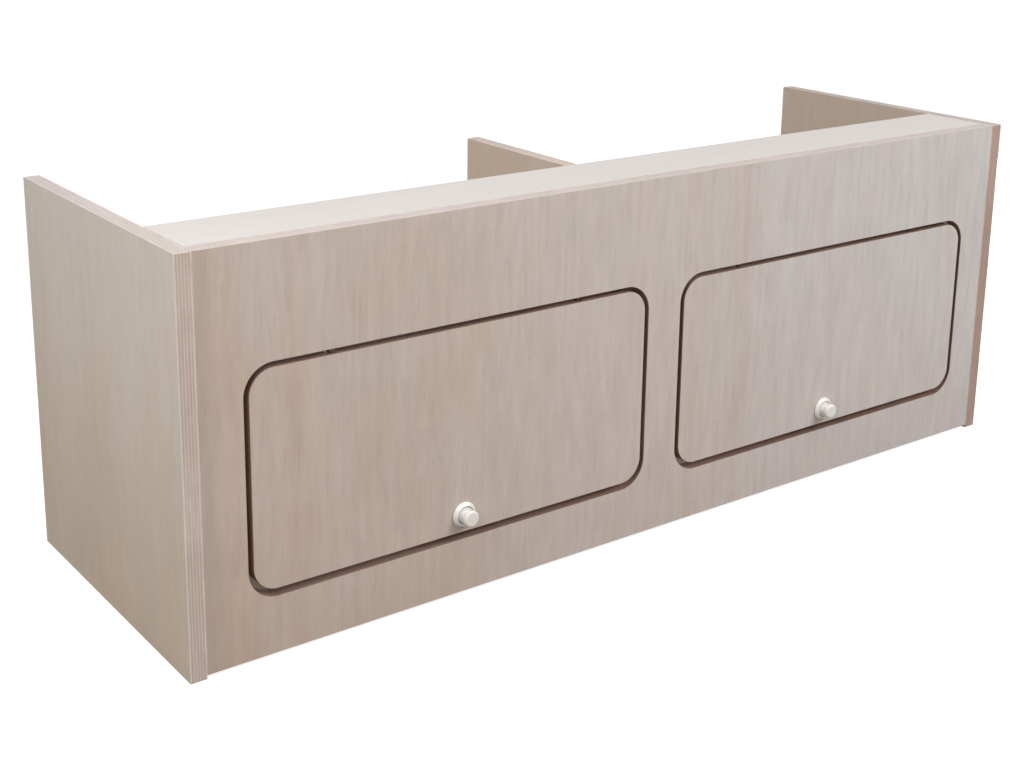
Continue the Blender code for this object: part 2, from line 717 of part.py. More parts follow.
def make_divider_bracket(side, sign, anchor, divider):
    """A plate on the divider with a stud that carries the tube's eye clear of the stile."""
    outward = X_AXIS * sign
    face = BOARD / 2 + SEAT_GAP
    plate_face = face + PLATE_THICKNESS
    half_depth = PLATE_DEPTH / 2
    half_height = PLATE_HEIGHT / 2
    low_x, high_x = sorted((sign * face, sign * plate_face))
    name = side + "_stay_divider_bracket"
    plate = box(
        name,
        (low_x, anchor.y - half_depth, anchor.z - half_height),
        (high_x, anchor.y + half_depth, anchor.z + half_height),
        "dark_steel",
    )
    eye_near = STAY_PLANE - EYE_THICKNESS / 2 - SEAT_GAP
    eye_far = STAY_PLANE + EYE_THICKNESS / 2 + SEAT_GAP
    root = face + PLATE_THICKNESS / 2
    profile = [
        (0, eye_far + PIN_HEAD_HEIGHT),
        (PIN_HEAD_RADIUS, eye_far + PIN_HEAD_HEIGHT),
        (PIN_HEAD_RADIUS, eye_far),
        (PIN_RADIUS, eye_far),
        (PIN_RADIUS, eye_near),
        (COLLAR_RADIUS, eye_near),
        (COLLAR_RADIUS, root),
        (0, root),
    ]
    foot = Vector((0, anchor.y, anchor.z))
    cut(plate, turned(name + "_stud", profile, foot, outward, steps=SMALL_ROUND_STEPS), "UNION")
    seats = {}
    for place_name, up in (("upper", 1), ("lower", -1)):
        seat = foot + outward * plate_face + Z_AXIS * up * PLATE_SCREW_OFFSET
        seats[f"{side}_stay_divider_{place_name}_screw"] = seat
    fasten(seats, outward, SHORT_SCREW_LENGTH, (plate, divider), "dark_steel")


def make_door_bracket(side, sign, pivot, door):
    """An angle on the door's back, with a short stub beside the rod's eye."""
    near = STAY_PLANE + EYE_THICKNESS / 2 + LUG_SIDE_GAP
    lug_far = near + PLATE_THICKNESS
    far = near + FOOT_LENGTH
    tip = BOARD + PIVOT_STANDOFF + LUG_TIP
    foot = BACK_OF_FRONT + PLATE_THICKNESS
    outline = [
        (sign * near, BACK_OF_FRONT),
        (sign * far, BACK_OF_FRONT),
        (sign * far, foot),
        (sign * lug_far, foot),
        (sign * lug_far, tip),
        (sign * near, tip),
    ]
    name = side + "_stay_door_bracket"
    middle = (0, FRONT_Y, pivot.z)
    bracket = flat_plate(name, outline, 2 * LUG_HALF_HEIGHT, middle, finish="dark_steel")
    stub_root = Vector((sign * (near + PLATE_THICKNESS / 2), pivot.y, pivot.z))
    stub_tip = Vector((sign * (near - LUG_SIDE_GAP + STUB_GAP), pivot.y, pivot.z))
    cut(bracket, rod(name + "_stub", stub_root, stub_tip, PIN_RADIUS), "UNION")
    seats = {}
    for place_name, up in (("upper", 1), ("lower", -1)):
        height = pivot.z + up * FOOT_SCREW_OFFSET
        seat = Vector((sign * (lug_far + far) / 2, FRONT_Y + foot, height))
        seats[f"{side}_stay_door_{place_name}_screw"] = seat
    fasten(seats, Y_AXIS, SHORT_SCREW_LENGTH, (bracket, door), "dark_steel")


def build():
    boards = make_carcass()
    front = boards["front_panel"]
    cut_housings(boards)
    cut_openings(front)
    add_tongues(boards)
    for side, sign in SIDES.items():
        door = make_door(side, sign)
        make_hinges(side, sign, front, door)
        make_lock(side, sign, door)
        make_strike(side, sign, front)
        make_stay(side, sign, door, boards["centre_divider"])


clear_scene()
part_collection = new_collection("campervan_overhead_cabinet")
cutter_collection = new_collection("cutters")
materials = {name: new_material(name) for name in FINISHES}
build()
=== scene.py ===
import json

import bmesh
import bpy
import numpy as np
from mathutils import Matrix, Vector

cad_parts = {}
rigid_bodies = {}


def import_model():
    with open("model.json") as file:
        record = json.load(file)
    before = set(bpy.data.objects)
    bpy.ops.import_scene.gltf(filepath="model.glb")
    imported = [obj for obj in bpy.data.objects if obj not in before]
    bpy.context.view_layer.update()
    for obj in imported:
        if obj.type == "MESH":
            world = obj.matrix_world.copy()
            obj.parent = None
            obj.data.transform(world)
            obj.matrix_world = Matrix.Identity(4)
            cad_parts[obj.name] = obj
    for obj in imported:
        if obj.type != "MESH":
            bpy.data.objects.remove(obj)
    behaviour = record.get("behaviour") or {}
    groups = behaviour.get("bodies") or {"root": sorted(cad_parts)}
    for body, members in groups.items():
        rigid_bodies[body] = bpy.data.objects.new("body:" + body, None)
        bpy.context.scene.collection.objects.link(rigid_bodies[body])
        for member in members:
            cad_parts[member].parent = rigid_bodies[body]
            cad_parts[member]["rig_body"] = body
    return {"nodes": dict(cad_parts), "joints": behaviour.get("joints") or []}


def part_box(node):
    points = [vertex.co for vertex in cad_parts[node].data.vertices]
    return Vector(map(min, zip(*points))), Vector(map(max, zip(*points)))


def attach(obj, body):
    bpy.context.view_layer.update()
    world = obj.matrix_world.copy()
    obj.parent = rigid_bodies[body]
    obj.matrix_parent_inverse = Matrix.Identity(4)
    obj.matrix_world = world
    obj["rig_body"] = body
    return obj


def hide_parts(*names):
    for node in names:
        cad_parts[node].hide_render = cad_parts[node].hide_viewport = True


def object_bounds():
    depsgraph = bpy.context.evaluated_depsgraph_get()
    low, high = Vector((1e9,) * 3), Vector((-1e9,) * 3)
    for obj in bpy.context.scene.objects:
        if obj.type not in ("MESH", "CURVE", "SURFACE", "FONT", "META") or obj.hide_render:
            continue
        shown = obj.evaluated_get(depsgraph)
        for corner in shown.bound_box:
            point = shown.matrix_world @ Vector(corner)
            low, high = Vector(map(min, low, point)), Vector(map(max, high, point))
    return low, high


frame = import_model()
cadLow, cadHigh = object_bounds()
print("frame loaded:", len(frame["nodes"]), "nodes")

sides = {"left": -1, "right": 1}
frontY = cadLow.y + 0.014  # the knobs stand this far out of the front panel


camera = {
    "place": (-0.96324, -1.196611, 0.666283),
    "turn": (75.66478, -0.79482, -36.55684),  # degrees about X, Y and Z
    "lens": 54.2825,  # in millimetres, and so is the sensor
    "sensor": 36.0,
    "shiftY": -0.15,
    "clip": (0.05, 100.0),
}

lamps = {
    "topBox": {"place": (0.4, -0.8, 1.35), "target": (0, -0.1, 0.2), "size": (1.3, 0.8), "power": 5},
    "frontBox": {"place": (1.2, -2.2, 1.9), "target": (-0.1, -0.1, 0.15), "size": (1.2, 0.9), "power": 36},
    "sideBox": {"place": (-1.3, -0.45, 1.25), "target": (-0.5, 0, 0.3), "size": (0.8, 0.7), "power": 13},
    # for the sides that the photo doesn't show
    "farBox": {"place": (1.9, 0.75, 0.18), "target": (0.5, 0.1, 0.18), "size": (0.9, 0.3), "power": 9},
}

stage = {
    "skyLight": 0.42,  # what the surroundings give the object
    "floorBounce": (0.24, 0.205, 0.175),  # the floor's colour to the object
    "floorGlow": 0.86,  # the floor's own white to the camera
    "floorShade": 0.36,  # and how strongly it shows light and shadow
    "floorHalf": 14.0,
    "floorSteps": 9,
}


def newItem(name, data):
    # an object with this data, in the scene.
    item = bpy.data.objects.new(name, data)
    bpy.context.scene.collection.objects.link(item)
    return item


def makeCamera():
    # the photo's viewpoint, from a fit of the cabinet's corners.
    data = bpy.data.cameras.new("camera")
    item = newItem("camera", data)
    item.location = camera["place"]
    item.rotation_euler = np.radians(camera["turn"])
    data.lens, data.sensor_width, data.shift_y = camera["lens"], camera["sensor"], camera["shiftY"]
    data.clip_start, data.clip_end = camera["clip"]
    bpy.context.scene.camera = item


def makeLamp(name, spec):
    # a rectangular lamp that faces its target.
    data = bpy.data.lights.new(name, "AREA")
    data.shape = "RECTANGLE"
    data.size, data.size_y = spec["size"]
    data.energy = spec["power"]
    item = newItem(name, data)
    item.location = spec["place"]
    aim = Vector(spec["target"]) - Vector(spec["place"])
    item.rotation_euler = aim.to_track_quat("-Z", "Y").to_euler()


def addNode(tree, kind, inputs=None, **settings):
    # a shader node: a socket among its inputs is linked, and any other value is set.
    made = tree.nodes.new("ShaderNode" + kind)
    for key, value in settings.items():
        setattr(made, key, value)
    for key, value in (inputs or {}).items():
        if isinstance(value, bpy.types.NodeSocket):
            tree.links.new(value, made.inputs[key])
        else:
            made.inputs[key].default_value = value
    return made


def calc(tree, operation, first, second=0.0, third=0.0):
    # one step of arithmetic on sockets and numbers.
    return addNode(tree, "Math", {0: first, 1: second, 2: third}, operation=operation).outputs[0]


def seenDirectly(tree):
    # 1 for what the camera sees, straight, mirrored or through something.
    rays = addNode(tree, "LightPath").outputs
    seen = calc(tree, "MAXIMUM", rays["Is Camera Ray"], rays["Is Glossy Ray"])
    return calc(tree, "MAXIMUM", seen, rays["Is Transmission Ray"])


def finishBySight(tree, hidden, seen, endKind):
    # one shader for what the camera sees directly and another for all else.
    mixed = addNode(tree, "MixShader", {0: seenDirectly(tree), 1: hidden.outputs[0], 2: seen.outputs[0]})
    addNode(tree, endKind, {0: mixed.outputs[0]})


def makeStage():
    # white to the camera, with less light for the object. The floor adds some of the light on it to its own
    # white, and gives the object a warmer light.
    white = (1, 1, 1, 1)
    world = bpy.data.worlds.new("studio")
    bpy.context.scene.world = world
    world.use_nodes = True
    tree = world.node_tree
    tree.nodes.clear()
    lighting = addNode(tree, "Background", {"Color": white, "Strength": stage["skyLight"]})
    backdrop = addNode(tree, "Background", {"Color": white, "Strength": 1.0})
    finishBySight(tree, lighting, backdrop, "OutputWorld")

    across = np.linspace(-stage["floorHalf"], stage["floorHalf"], stage["floorSteps"])
    x, y = np.meshgrid(across, across, indexing="ij")
    shape = gridShape(np.stack([x, y, np.zeros_like(x)], -1))
    mesh = bpy.data.meshes.new("floor")
    mesh.from_pydata(shape["points"].tolist(), [], shape["faces"])
    floor = newItem("floor", mesh)
    material = bpy.data.materials.new("paleFloor")
    material.use_nodes = True
    tree = material.node_tree
    tree.nodes.clear()
    bounce = addNode(tree, "BsdfDiffuse", {"Color": (*stage["floorBounce"], 1)})
    shadowed = addNode(tree, "BsdfDiffuse", {"Color": (*[stage["floorShade"]] * 3, 1)})
    glow = addNode(tree, "Emission", {"Color": white, "Strength": stage["floorGlow"]})
    shown = addNode(tree, "AddShader", {0: shadowed.outputs[0], 1: glow.outputs[0]})
    finishBySight(tree, bounce, shown, "OutputMaterial")
    mesh.materials.append(material)
    bpy.context.scene.view_settings.view_transform = "Standard"


def gridShape(points, closedRows=False, closedColumns=False, kinds=0):
    # quads between neighbouring points of a grid. Kinds gives each column its finish.
    rows, columns = points.shape[:2]
    row = np.arange(rows if closedRows else rows - 1)
    column = np.arange(columns if closedColumns else columns - 1)
    a, b = np.meshgrid(row, column, indexing="ij")
    nextA, nextB = (a + 1) % rows, (b + 1) % columns
    quads = np.stack([a * columns + b, nextA * columns + b, nextA * columns + nextB, a * columns + nextB], -1)
    kinds = np.broadcast_to(kinds, a.shape).ravel()
    return {"points": points.reshape(-1, 3), "faces": quads.reshape(-1, 4).tolist(), "kinds": kinds}


def joined(*shapes):
    # several shapes as one: each one's faces count on from the points before.
    starts = np.cumsum([0] + [len(shape["points"]) for shape in shapes])
    faces = [[corner + int(start) for corner in face]
             for start, shape in zip(starts, shapes) for face in shape["faces"]]
    points = np.concatenate([shape["points"] for shape in shapes])
    return {"points": points, "faces": faces, "kinds": np.concatenate([shape["kinds"] for shape in shapes])}


def closedWall(points, kinds):
    # a wall with a flat face over each end. Kinds are the two faces' finishes and the wall's.
    face = [list(range(len(points)))]
    first = {"points": points[:, 0], "faces": face, "kinds": kinds[:1]}
    last = {"points": points[:, -1], "faces": face, "kinds": kinds[1:2]}
    return joined(gridShape(points, closedRows=True, kinds=kinds[2]), first, last)


def rectangle(width, height):
    # its corners, from 0, 0 and round to the left.
    return [(0, 0), (width, 0), (width, height), (0, height)]


def roundedOutline(corners, radii, steps):
    # each corner becomes an arc: centre plus radius times a normal, which turns evenly from one side's normal
    # to the next one's. Gives the points and their normals.
    corners = np.asarray(corners, float)
    radii = np.broadcast_to(radii, len(corners)).astype(float)[:, None]
    coming = corners - np.roll(corners, 1, 0)
    leaving = np.roll(corners, -1, 0) - corners
    coming /= np.linalg.norm(coming, axis=1, keepdims=True)
    leaving /= np.linalg.norm(leaving, axis=1, keepdims=True)
    first = np.stack([coming[:, 1], -coming[:, 0]], -1)
    last = np.stack([leaving[:, 1], -leaving[:, 0]], -1)
    turn = coming[:, 0] * leaving[:, 1] - coming[:, 1] * leaving[:, 0]
    outward = np.where(turn >= 0, 1.0, -1.0)[:, None]
    bend = np.arccos(np.clip((first * last).sum(1), -1, 1))[:, None]
    middle = (first + last) / np.linalg.norm(first + last, axis=1, keepdims=True)
    centres = corners - outward * middle * radii / np.cos(bend / 2)
    share = np.linspace(0, 1, steps + 1)[None, :, None]
    bend = np.maximum(bend, 1e-6)[:, None]
    normals = np.sin((1 - share) * bend) * first[:, None] + np.sin(share * bend) * last[:, None]
    normals /= np.sin(bend)
    points = centres[:, None] + (outward * radii)[:, None] * normals
    return points.reshape(-1, 2), normals.reshape(-1, 2)


def arris(thickness, ease, steps):
    # a quarter circle over each arris: how far inside the outline and how deep it runs.
    turn = np.linspace(0, np.pi / 2, steps + 1)
    inset, depth = ease * (1 - np.sin(turn)), ease * (1 - np.cos(turn))
    return np.concatenate([inset, inset[::-1]]), np.concatenate([depth, thickness - depth[::-1]])


def slab(corners, radii, thickness, ease, cornerSteps=6, easeSteps=2, kinds=(0, 0, 0)):
    # a flat piece with eased arrises: their profile is carried round its outline.
    outline, normals = roundedOutline(corners, radii, cornerSteps)
    inset, depth = arris(thickness, ease, easeSteps)
    flat = outline[:, None] - normals[:, None] * inset[None, :, None]
    points = np.concatenate([flat, np.broadcast_to(depth[None, :, None], flat.shape[:2] + (1,))], -1)
    return closedWall(points, kinds)


def turned(corners, radii, steps=48, arcSteps=4, ring=False, kind=0):
    # a profile of radius and height goes round its axis: x is r cos a, y is r sin a and z is the height.
    profile, _ = roundedOutline(corners, radii, arcSteps)
    angle = np.arange(steps) * 2 * np.pi / steps
    x, y = np.outer(np.cos(angle), profile[:, 0]), np.outer(np.sin(angle), profile[:, 0])
    points = np.stack([x, y, np.broadcast_to(profile[:, 1], x.shape)], -1)
    return gridShape(points, closedRows=True, closedColumns=ring, kinds=kind)


def placed(shape, origin, across, up, out):
    # turns a shape's own x, y and z to three directions and moves it to an origin.
    turn = np.array([across, up, out], float)
    return {**shape, "points": np.array(origin) + shape["points"] @ turn}


# where x, y and z go for an outline seen from the front, from the side or from above
inFront, outFront = ((1, 0, 0), (0, 0, 1), (0, 1, 0)), ((1, 0, 0), (0, 0, 1), (0, -1, 0))
fromSide, fromAbove = ((0, 1, 0), (0, 0, 1), (1, 0, 0)), ((1, 0, 0), (0, 1, 0), (0, 0, 1))


def towards(direction):
    # three directions at right angles, the last of them the given one.
    out = np.array(direction, float) / np.linalg.norm(direction)
    helper = np.array((0, 0, 1.0) if abs(out[2]) < 0.9 else (1.0, 0, 0))
    across = np.cross(helper, out)
    across /= np.linalg.norm(across)
    return across, np.cross(out, across), out


def boxShape(low, high, kind=0):
    # a plain box between two corners, for cutting.
    width, length, height = np.array(high) - low
    points = [[(x, y, 0), (x, y, height)] for x, y in rectangle(width, length)]
    return closedWall(np.array(points) + low, (kind,) * 3)


def rodShape(start, end, radius, kind=0, steps=32):
    # a plain rod from one point to another, for cutting.
    start, end = np.array(start, float), np.array(end, float)
    length = np.linalg.norm(end - start)
    return placed(turned(rectangle(radius, length), 0, steps, 0, kind=kind), start, *towards(end - start))


def meshOf(name, shape, finishes):
    # a shape as a mesh: points that meet are welded, and every face looks outwards.
    weld = 1e-6
    mesh = bpy.data.meshes.new(name)
    mesh.from_pydata(shape["points"].tolist(), [], shape["faces"])
    mesh.polygons.foreach_set("material_index", shape["kinds"].astype(np.int32))
    for finish in finishes:
        mesh.materials.append(finish)
    form = bmesh.new()
    form.from_mesh(mesh)
    bmesh.ops.remove_doubles(form, verts=form.verts, dist=weld)
    bmesh.ops.recalc_face_normals(form, faces=form.faces)
    form.to_mesh(mesh)
    form.free()
    return mesh


sharpBend = 35  # degrees, from which an edge is shaded as sharp


def makePiece(name, shape, body, looks, cuts=(), unions=()):
    # the piece stands for the CAD node of the same name.
    finishes = [finish[look] for look in looks.split()]
    item = newItem(name + "Look", meshOf(name, shape, finishes))
    helpers = []
    for operation, others in (("UNION", unions), ("DIFFERENCE", cuts)):
        for other in others:
            helper = newItem("helper", meshOf("helper", other, finishes))
            helper.hide_render = True
            helpers.append(helper)
            change = item.modifiers.new("Shape", "BOOLEAN")
            change.operation, change.object, change.solver = operation, helper, "EXACT"
    if helpers:
        graph = bpy.context.evaluated_depsgraph_get()
        graph.update()
        made = bpy.data.meshes.new_from_object(item.evaluated_get(graph))
        item.modifiers.clear()
        item.data = made
        for helper in helpers:
            bpy.data.objects.remove(helper, do_unlink=True)
    item.data.shade_smooth()
    item.data.set_sharp_from_angle(angle=np.radians(sharpBend))
    even = item.modifiers.new("Even shading", "WEIGHTED_NORMAL")
    even.keep_sharp = True
    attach(item, body)
    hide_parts(name)


def hexColour(text):
    # a colour written as on a screen, as linear red, green and blue.
    value = np.array([int(text[i : i + 2], 16) for i in (1, 3, 5)]) / 255
    linear = np.where(value <= 0.04045, value / 12.92, ((value + 0.055) / 1.055) ** 2.4)
    return (*linear.tolist(), 1.0)


def newFinish(name, build, spec):
    # a material whose nodes a function builds after its spec.
    material = bpy.data.materials.new(name)
    material.use_nodes = True
    build(material.node_tree, material.node_tree.nodes["Principled BSDF"], spec)
    return material


def dress(tree, shader, colour, roughness, height, strength, distance, sheen=0.5):
    # colour, roughness and the relief that a height makes.
    bump = addNode(tree, "Bump", {"Height": height, "Strength": strength, "Distance": distance})
    for name, socket in (("Base Color", colour), ("Roughness", roughness), ("Normal", bump.outputs[0])):
        tree.links.new(socket, shader.inputs[name])
    shader.inputs["Specular IOR Level"].default_value = sheen


def mapped(tree, scale=(1, 1, 1), shift=(0, 0, 0)):
    # the object's own coordinates times a scale, plus a shift.
    spot = addNode(tree, "TexCoord").outputs["Object"]
    return addNode(tree, "Mapping", {"Vector": spot, "Location": shift, "Scale": scale}).outputs[0]


def noise(tree, vector, scale, detail=3, distortion=0.0):
    # a noise from 0 to 1, with this many waves a metre.
    inputs = {"Vector": vector, "Scale": scale, "Detail": detail, "Distortion": distortion}
    return addNode(tree, "TexNoise", inputs).outputs[0]


def spread(tree, value, low, high, toLow=0.0, toHigh=1.0):
    # a smooth step from one result, where the value is low, to another.
    inputs = {"Value": value, "From Min": low, "From Max": high, "To Min": toLow, "To Max": toHigh}
    return addNode(tree, "MapRange", inputs, interpolation_type="SMOOTHSTEP").outputs[0]


def varied(tree, value, pattern, depth):
    # the value plus depth times a pattern's distance from a half.
    return calc(tree, "MULTIPLY_ADD", pattern, depth, calc(tree, "SUBTRACT", value, depth / 2))


def rampOf(tree, value, stops):
    # a colour that runs through stops of a position and a colour.
    ramp = addNode(tree, "ValToRGB", {"Fac": value})
    elements = ramp.color_ramp.elements
    while len(elements) < len(stops):
        elements.new(0.5)
    for element, (position, colour) in zip(elements, stops):
        element.position = position
        element.color = hexColour(colour)
    return ramp.outputs["Color"]


def scaledColour(tree, colour, factor):
    # a colour times a factor.
    return addNode(tree, "VectorMath", {0: colour, "Scale": factor}, operation="SCALE").outputs[0]


def blended(tree, share, colour, other):
    # a share of one colour over another. The other is a text, and the first may be one.
    colour = hexColour(colour) if isinstance(colour, str) else colour
    inputs = {"Factor": share, 6: colour, 7: hexColour(other)}
    return addNode(tree, "Mix", inputs, data_type="RGBA").outputs[2]


def limedVeneer(tree, shader, spec):
    # bands along the grain and a cloudy wash give the tone, which a ramp turns to colour. Streaks, hairlines
    # and figure lighten and darken it.
    grain, shift = spec["grain"], spec["shift"]  # grain is 0, 1 or 2 for X, Y or Z

    def along(stretch):
        return tuple(stretch if axis == grain else 1.0 for axis in range(3))

    # a slow noise sways the grain to the side
    sway = calc(tree, "MULTIPLY", noise(tree, mapped(tree, along(0.6), shift), 7.0, detail=2), spec["sway"])
    aside = addNode(tree, "CombineXYZ", {axis: sway for axis in range(3) if axis != grain}).outputs[0]

    def swayed(stretch):
        base = mapped(tree, along(stretch), shift)
        return addNode(tree, "VectorMath", {0: base, 1: aside}, operation="ADD").outputs[0]

    bands = noise(tree, swayed(0.16), spec["bandScale"], distortion=0.4)
    streaks = noise(tree, swayed(0.10), 130.0)
    hairs = noise(tree, swayed(0.05), 700.0)
    wash = noise(tree, mapped(tree, shift=shift), 16.0, detail=5)
    figure = noise(tree, mapped(tree, along(0.5), shift), 60.0, distortion=1.0)

    tone = varied(tree, varied(tree, 0.5, bands, spec["bands"]), wash, spec["wash"])
    axes = addNode(tree, "SeparateXYZ", {0: mapped(tree)}).outputs
    for axis, pivot, slope in spec.get("slopes", ()):
        # the tone climbs along an axis, from a pivot; a climb with height is painted shade, lighter at the
        # top and darker at the bottom
        tone = calc(tree, "MULTIPLY_ADD", calc(tree, "SUBTRACT", axes[axis], pivot), slope, tone)
    colour = rampOf(tree, tone, spec["stops"])
    if "tan" in spec:
        colour = tanBands(tree, colour, axes[0], spec)
    for patch in spec.get("patches", ()):
        colour = fadedPatch(tree, colour, figure, patch)

    light = varied(tree, 1.0, streaks, spec["streaks"])
    light = calc(tree, "MULTIPLY_ADD", spread(tree, hairs, 0.52, 0.68), -spec["hairs"], light)
    light = varied(tree, light, figure, spec["figure"])
    for axis, start, full, depth in spec.get("rims", ()):
        # painted shade, a darker rim: from its start to its full depth along one axis
        light = calc(tree, "MULTIPLY", light, spread(tree, axes[axis], start, full, 1.0, 1 - depth))

    roughness = spread(tree, wash, 0.3, 0.7, 0.50, 0.66)
    height = calc(tree, "MULTIPLY_ADD", hairs, -0.7, streaks)
    dress(tree, shader, scaledColour(tree, colour, light), roughness, height, 0.15, 0.0002, sheen=0.35)


def tanBands(tree, colour, across, spec):
    # wavy darker bands at listed places, which come and go along the grain.
    waver, leftEnd = 0.022, 0.489  # metres: how far they wander, and how far left of the middle they start
    wavy = noise(tree, mapped(tree, (1, 1, 1.6)), 7.0)
    place = calc(tree, "MULTIPLY_ADD", wavy, waver, calc(tree, "ADD", across, leftEnd))
    plan = rampOf(tree, place, [(spot, "#%02x%02x%02x" % ((share,) * 3)) for spot, share in spec["tan"]])
    come = spread(tree, noise(tree, mapped(tree), 8.0), 0.30, 0.62)
    share = calc(tree, "MULTIPLY", calc(tree, "MULTIPLY", plan, come), spec["tanDepth"])
    return blended(tree, share, colour, spec["tanColour"])


def fadedPatch(tree, colour, figure, patch):
    # a grey-green patch, stronger towards its middle.
    x, z, radius, depth = patch
    core, fray = 0.006, 0.02  # the patch is full inside its core, and the figure frays its rim, in metres
    fromMiddle = mapped(tree, (1, 0, 1), (-x, 0, -z))
    away = addNode(tree, "VectorMath", {0: fromMiddle}, operation="LENGTH").outputs[1]
    away = calc(tree, "MULTIPLY_ADD", figure, fray, away)
    return blended(tree, spread(tree, away, radius, core, 0.0, depth), colour, "#b9bab2")


def plyEdge(tree, shader, spec):
    # a sine of the depth makes the plies: long grain above 0, end grain below and a glue line at 0.
    axes = addNode(tree, "SeparateXYZ", {0: mapped(tree)}).outputs
    depth = calc(tree, "SUBTRACT", axes[spec["axis"]], spec["low"])
    depth = calc(tree, "DIVIDE", depth, spec["thickness"])
    depth = varied(tree, depth, noise(tree, mapped(tree), 70.0, detail=2), 0.03)
    wave = calc(tree, "SINE", calc(tree, "MULTIPLY", depth, np.pi * spec["plies"]))
    # the wash hides the plies in places
    shown = spread(tree, noise(tree, mapped(tree), 9.0, detail=2), 0.35, 0.65, 0.3)
    endGrain = calc(tree, "MULTIPLY", spread(tree, wave, 0.25, -0.25), shown)
    glue = calc(tree, "MULTIPLY", spread(tree, calc(tree, "ABSOLUTE", wave), 0.35, 0.0), shown)
    fromMiddle = calc(tree, "ABSOLUTE", calc(tree, "SUBTRACT", depth, 0.5))
    outer = spread(tree, fromMiddle, 0.5 - 1.15 / spec["plies"], 0.5 - 0.75 / spec["plies"])

    flat = tuple(1.0 if axis == spec["axis"] else 0.08 for axis in range(3))
    streaks = noise(tree, mapped(tree, flat), 1500.0)
    pores = noise(tree, mapped(tree), 900.0)
    blotches = noise(tree, mapped(tree), 45.0)
    plyTone = noise(tree, mapped(tree, flat), 420.0, detail=2)  # each ply takes the wash differently
    colour = blended(tree, endGrain, spec["longGrain"], spec["endGrain"])
    colour = blended(tree, outer, colour, spec["outer"])
    # the edges at the cabinet's top took more of the wash
    washStart, washFull = cadHigh.z - 0.0012, cadHigh.z - 0.0003
    facesUp = spread(tree, axes[2], washStart, washFull, toHigh=spec["washShare"])
    colour = blended(tree, facesUp, colour, spec["washColour"])

    light = calc(tree, "MULTIPLY_ADD", glue, -spec["glue"], 1.0)
    light = calc(tree, "MULTIPLY_ADD", spread(tree, pores, 0.5, 0.75), -spec["pores"], light)
    for pattern, share in ((streaks, 0.12), (plyTone, 0.3), (blotches, 0.16)):
        light = varied(tree, light, pattern, share)
    # painted shade: the edge darkens towards the front face
    light = calc(tree, "MULTIPLY", light, spread(tree, depth, 0.5, 0.0, 1.0, 1 - spec["faceShade"]))
    roughness = spread(tree, pores, 0.3, 0.7, 0.60, 0.80)
    dress(tree, shader, scaledColour(tree, colour, light), roughness, light, 0.3, 0.0003, sheen=0.3)


def smoothFinish(tree, shader, spec):
    # plastic or metal: a colour that drifts a little, and an uneven skin.
    drift = noise(tree, mapped(tree), spec["driftScale"])
    skin = noise(tree, mapped(tree, spec.get("stretch", (1, 1, 1))), spec["skinScale"], detail=2)
    colour = rampOf(tree, drift, [(0.3, spec["dark"]), (0.7, spec["light"])])
    roughness = spread(tree, skin, 0.3, 0.7, spec["rough"] - 0.06, spec["rough"] + 0.08)
    dress(tree, shader, colour, roughness, skin, spec["skin"], 0.0001)
    shader.inputs["Metallic"].default_value = spec["metal"]


veneerLook = {
    "grain": 0, "bandScale": 12.0, "bands": 0.8, "wash": 0.5,
    "streaks": 0.12, "hairs": 0.06, "figure": 0.05, "sway": 0.03,
}

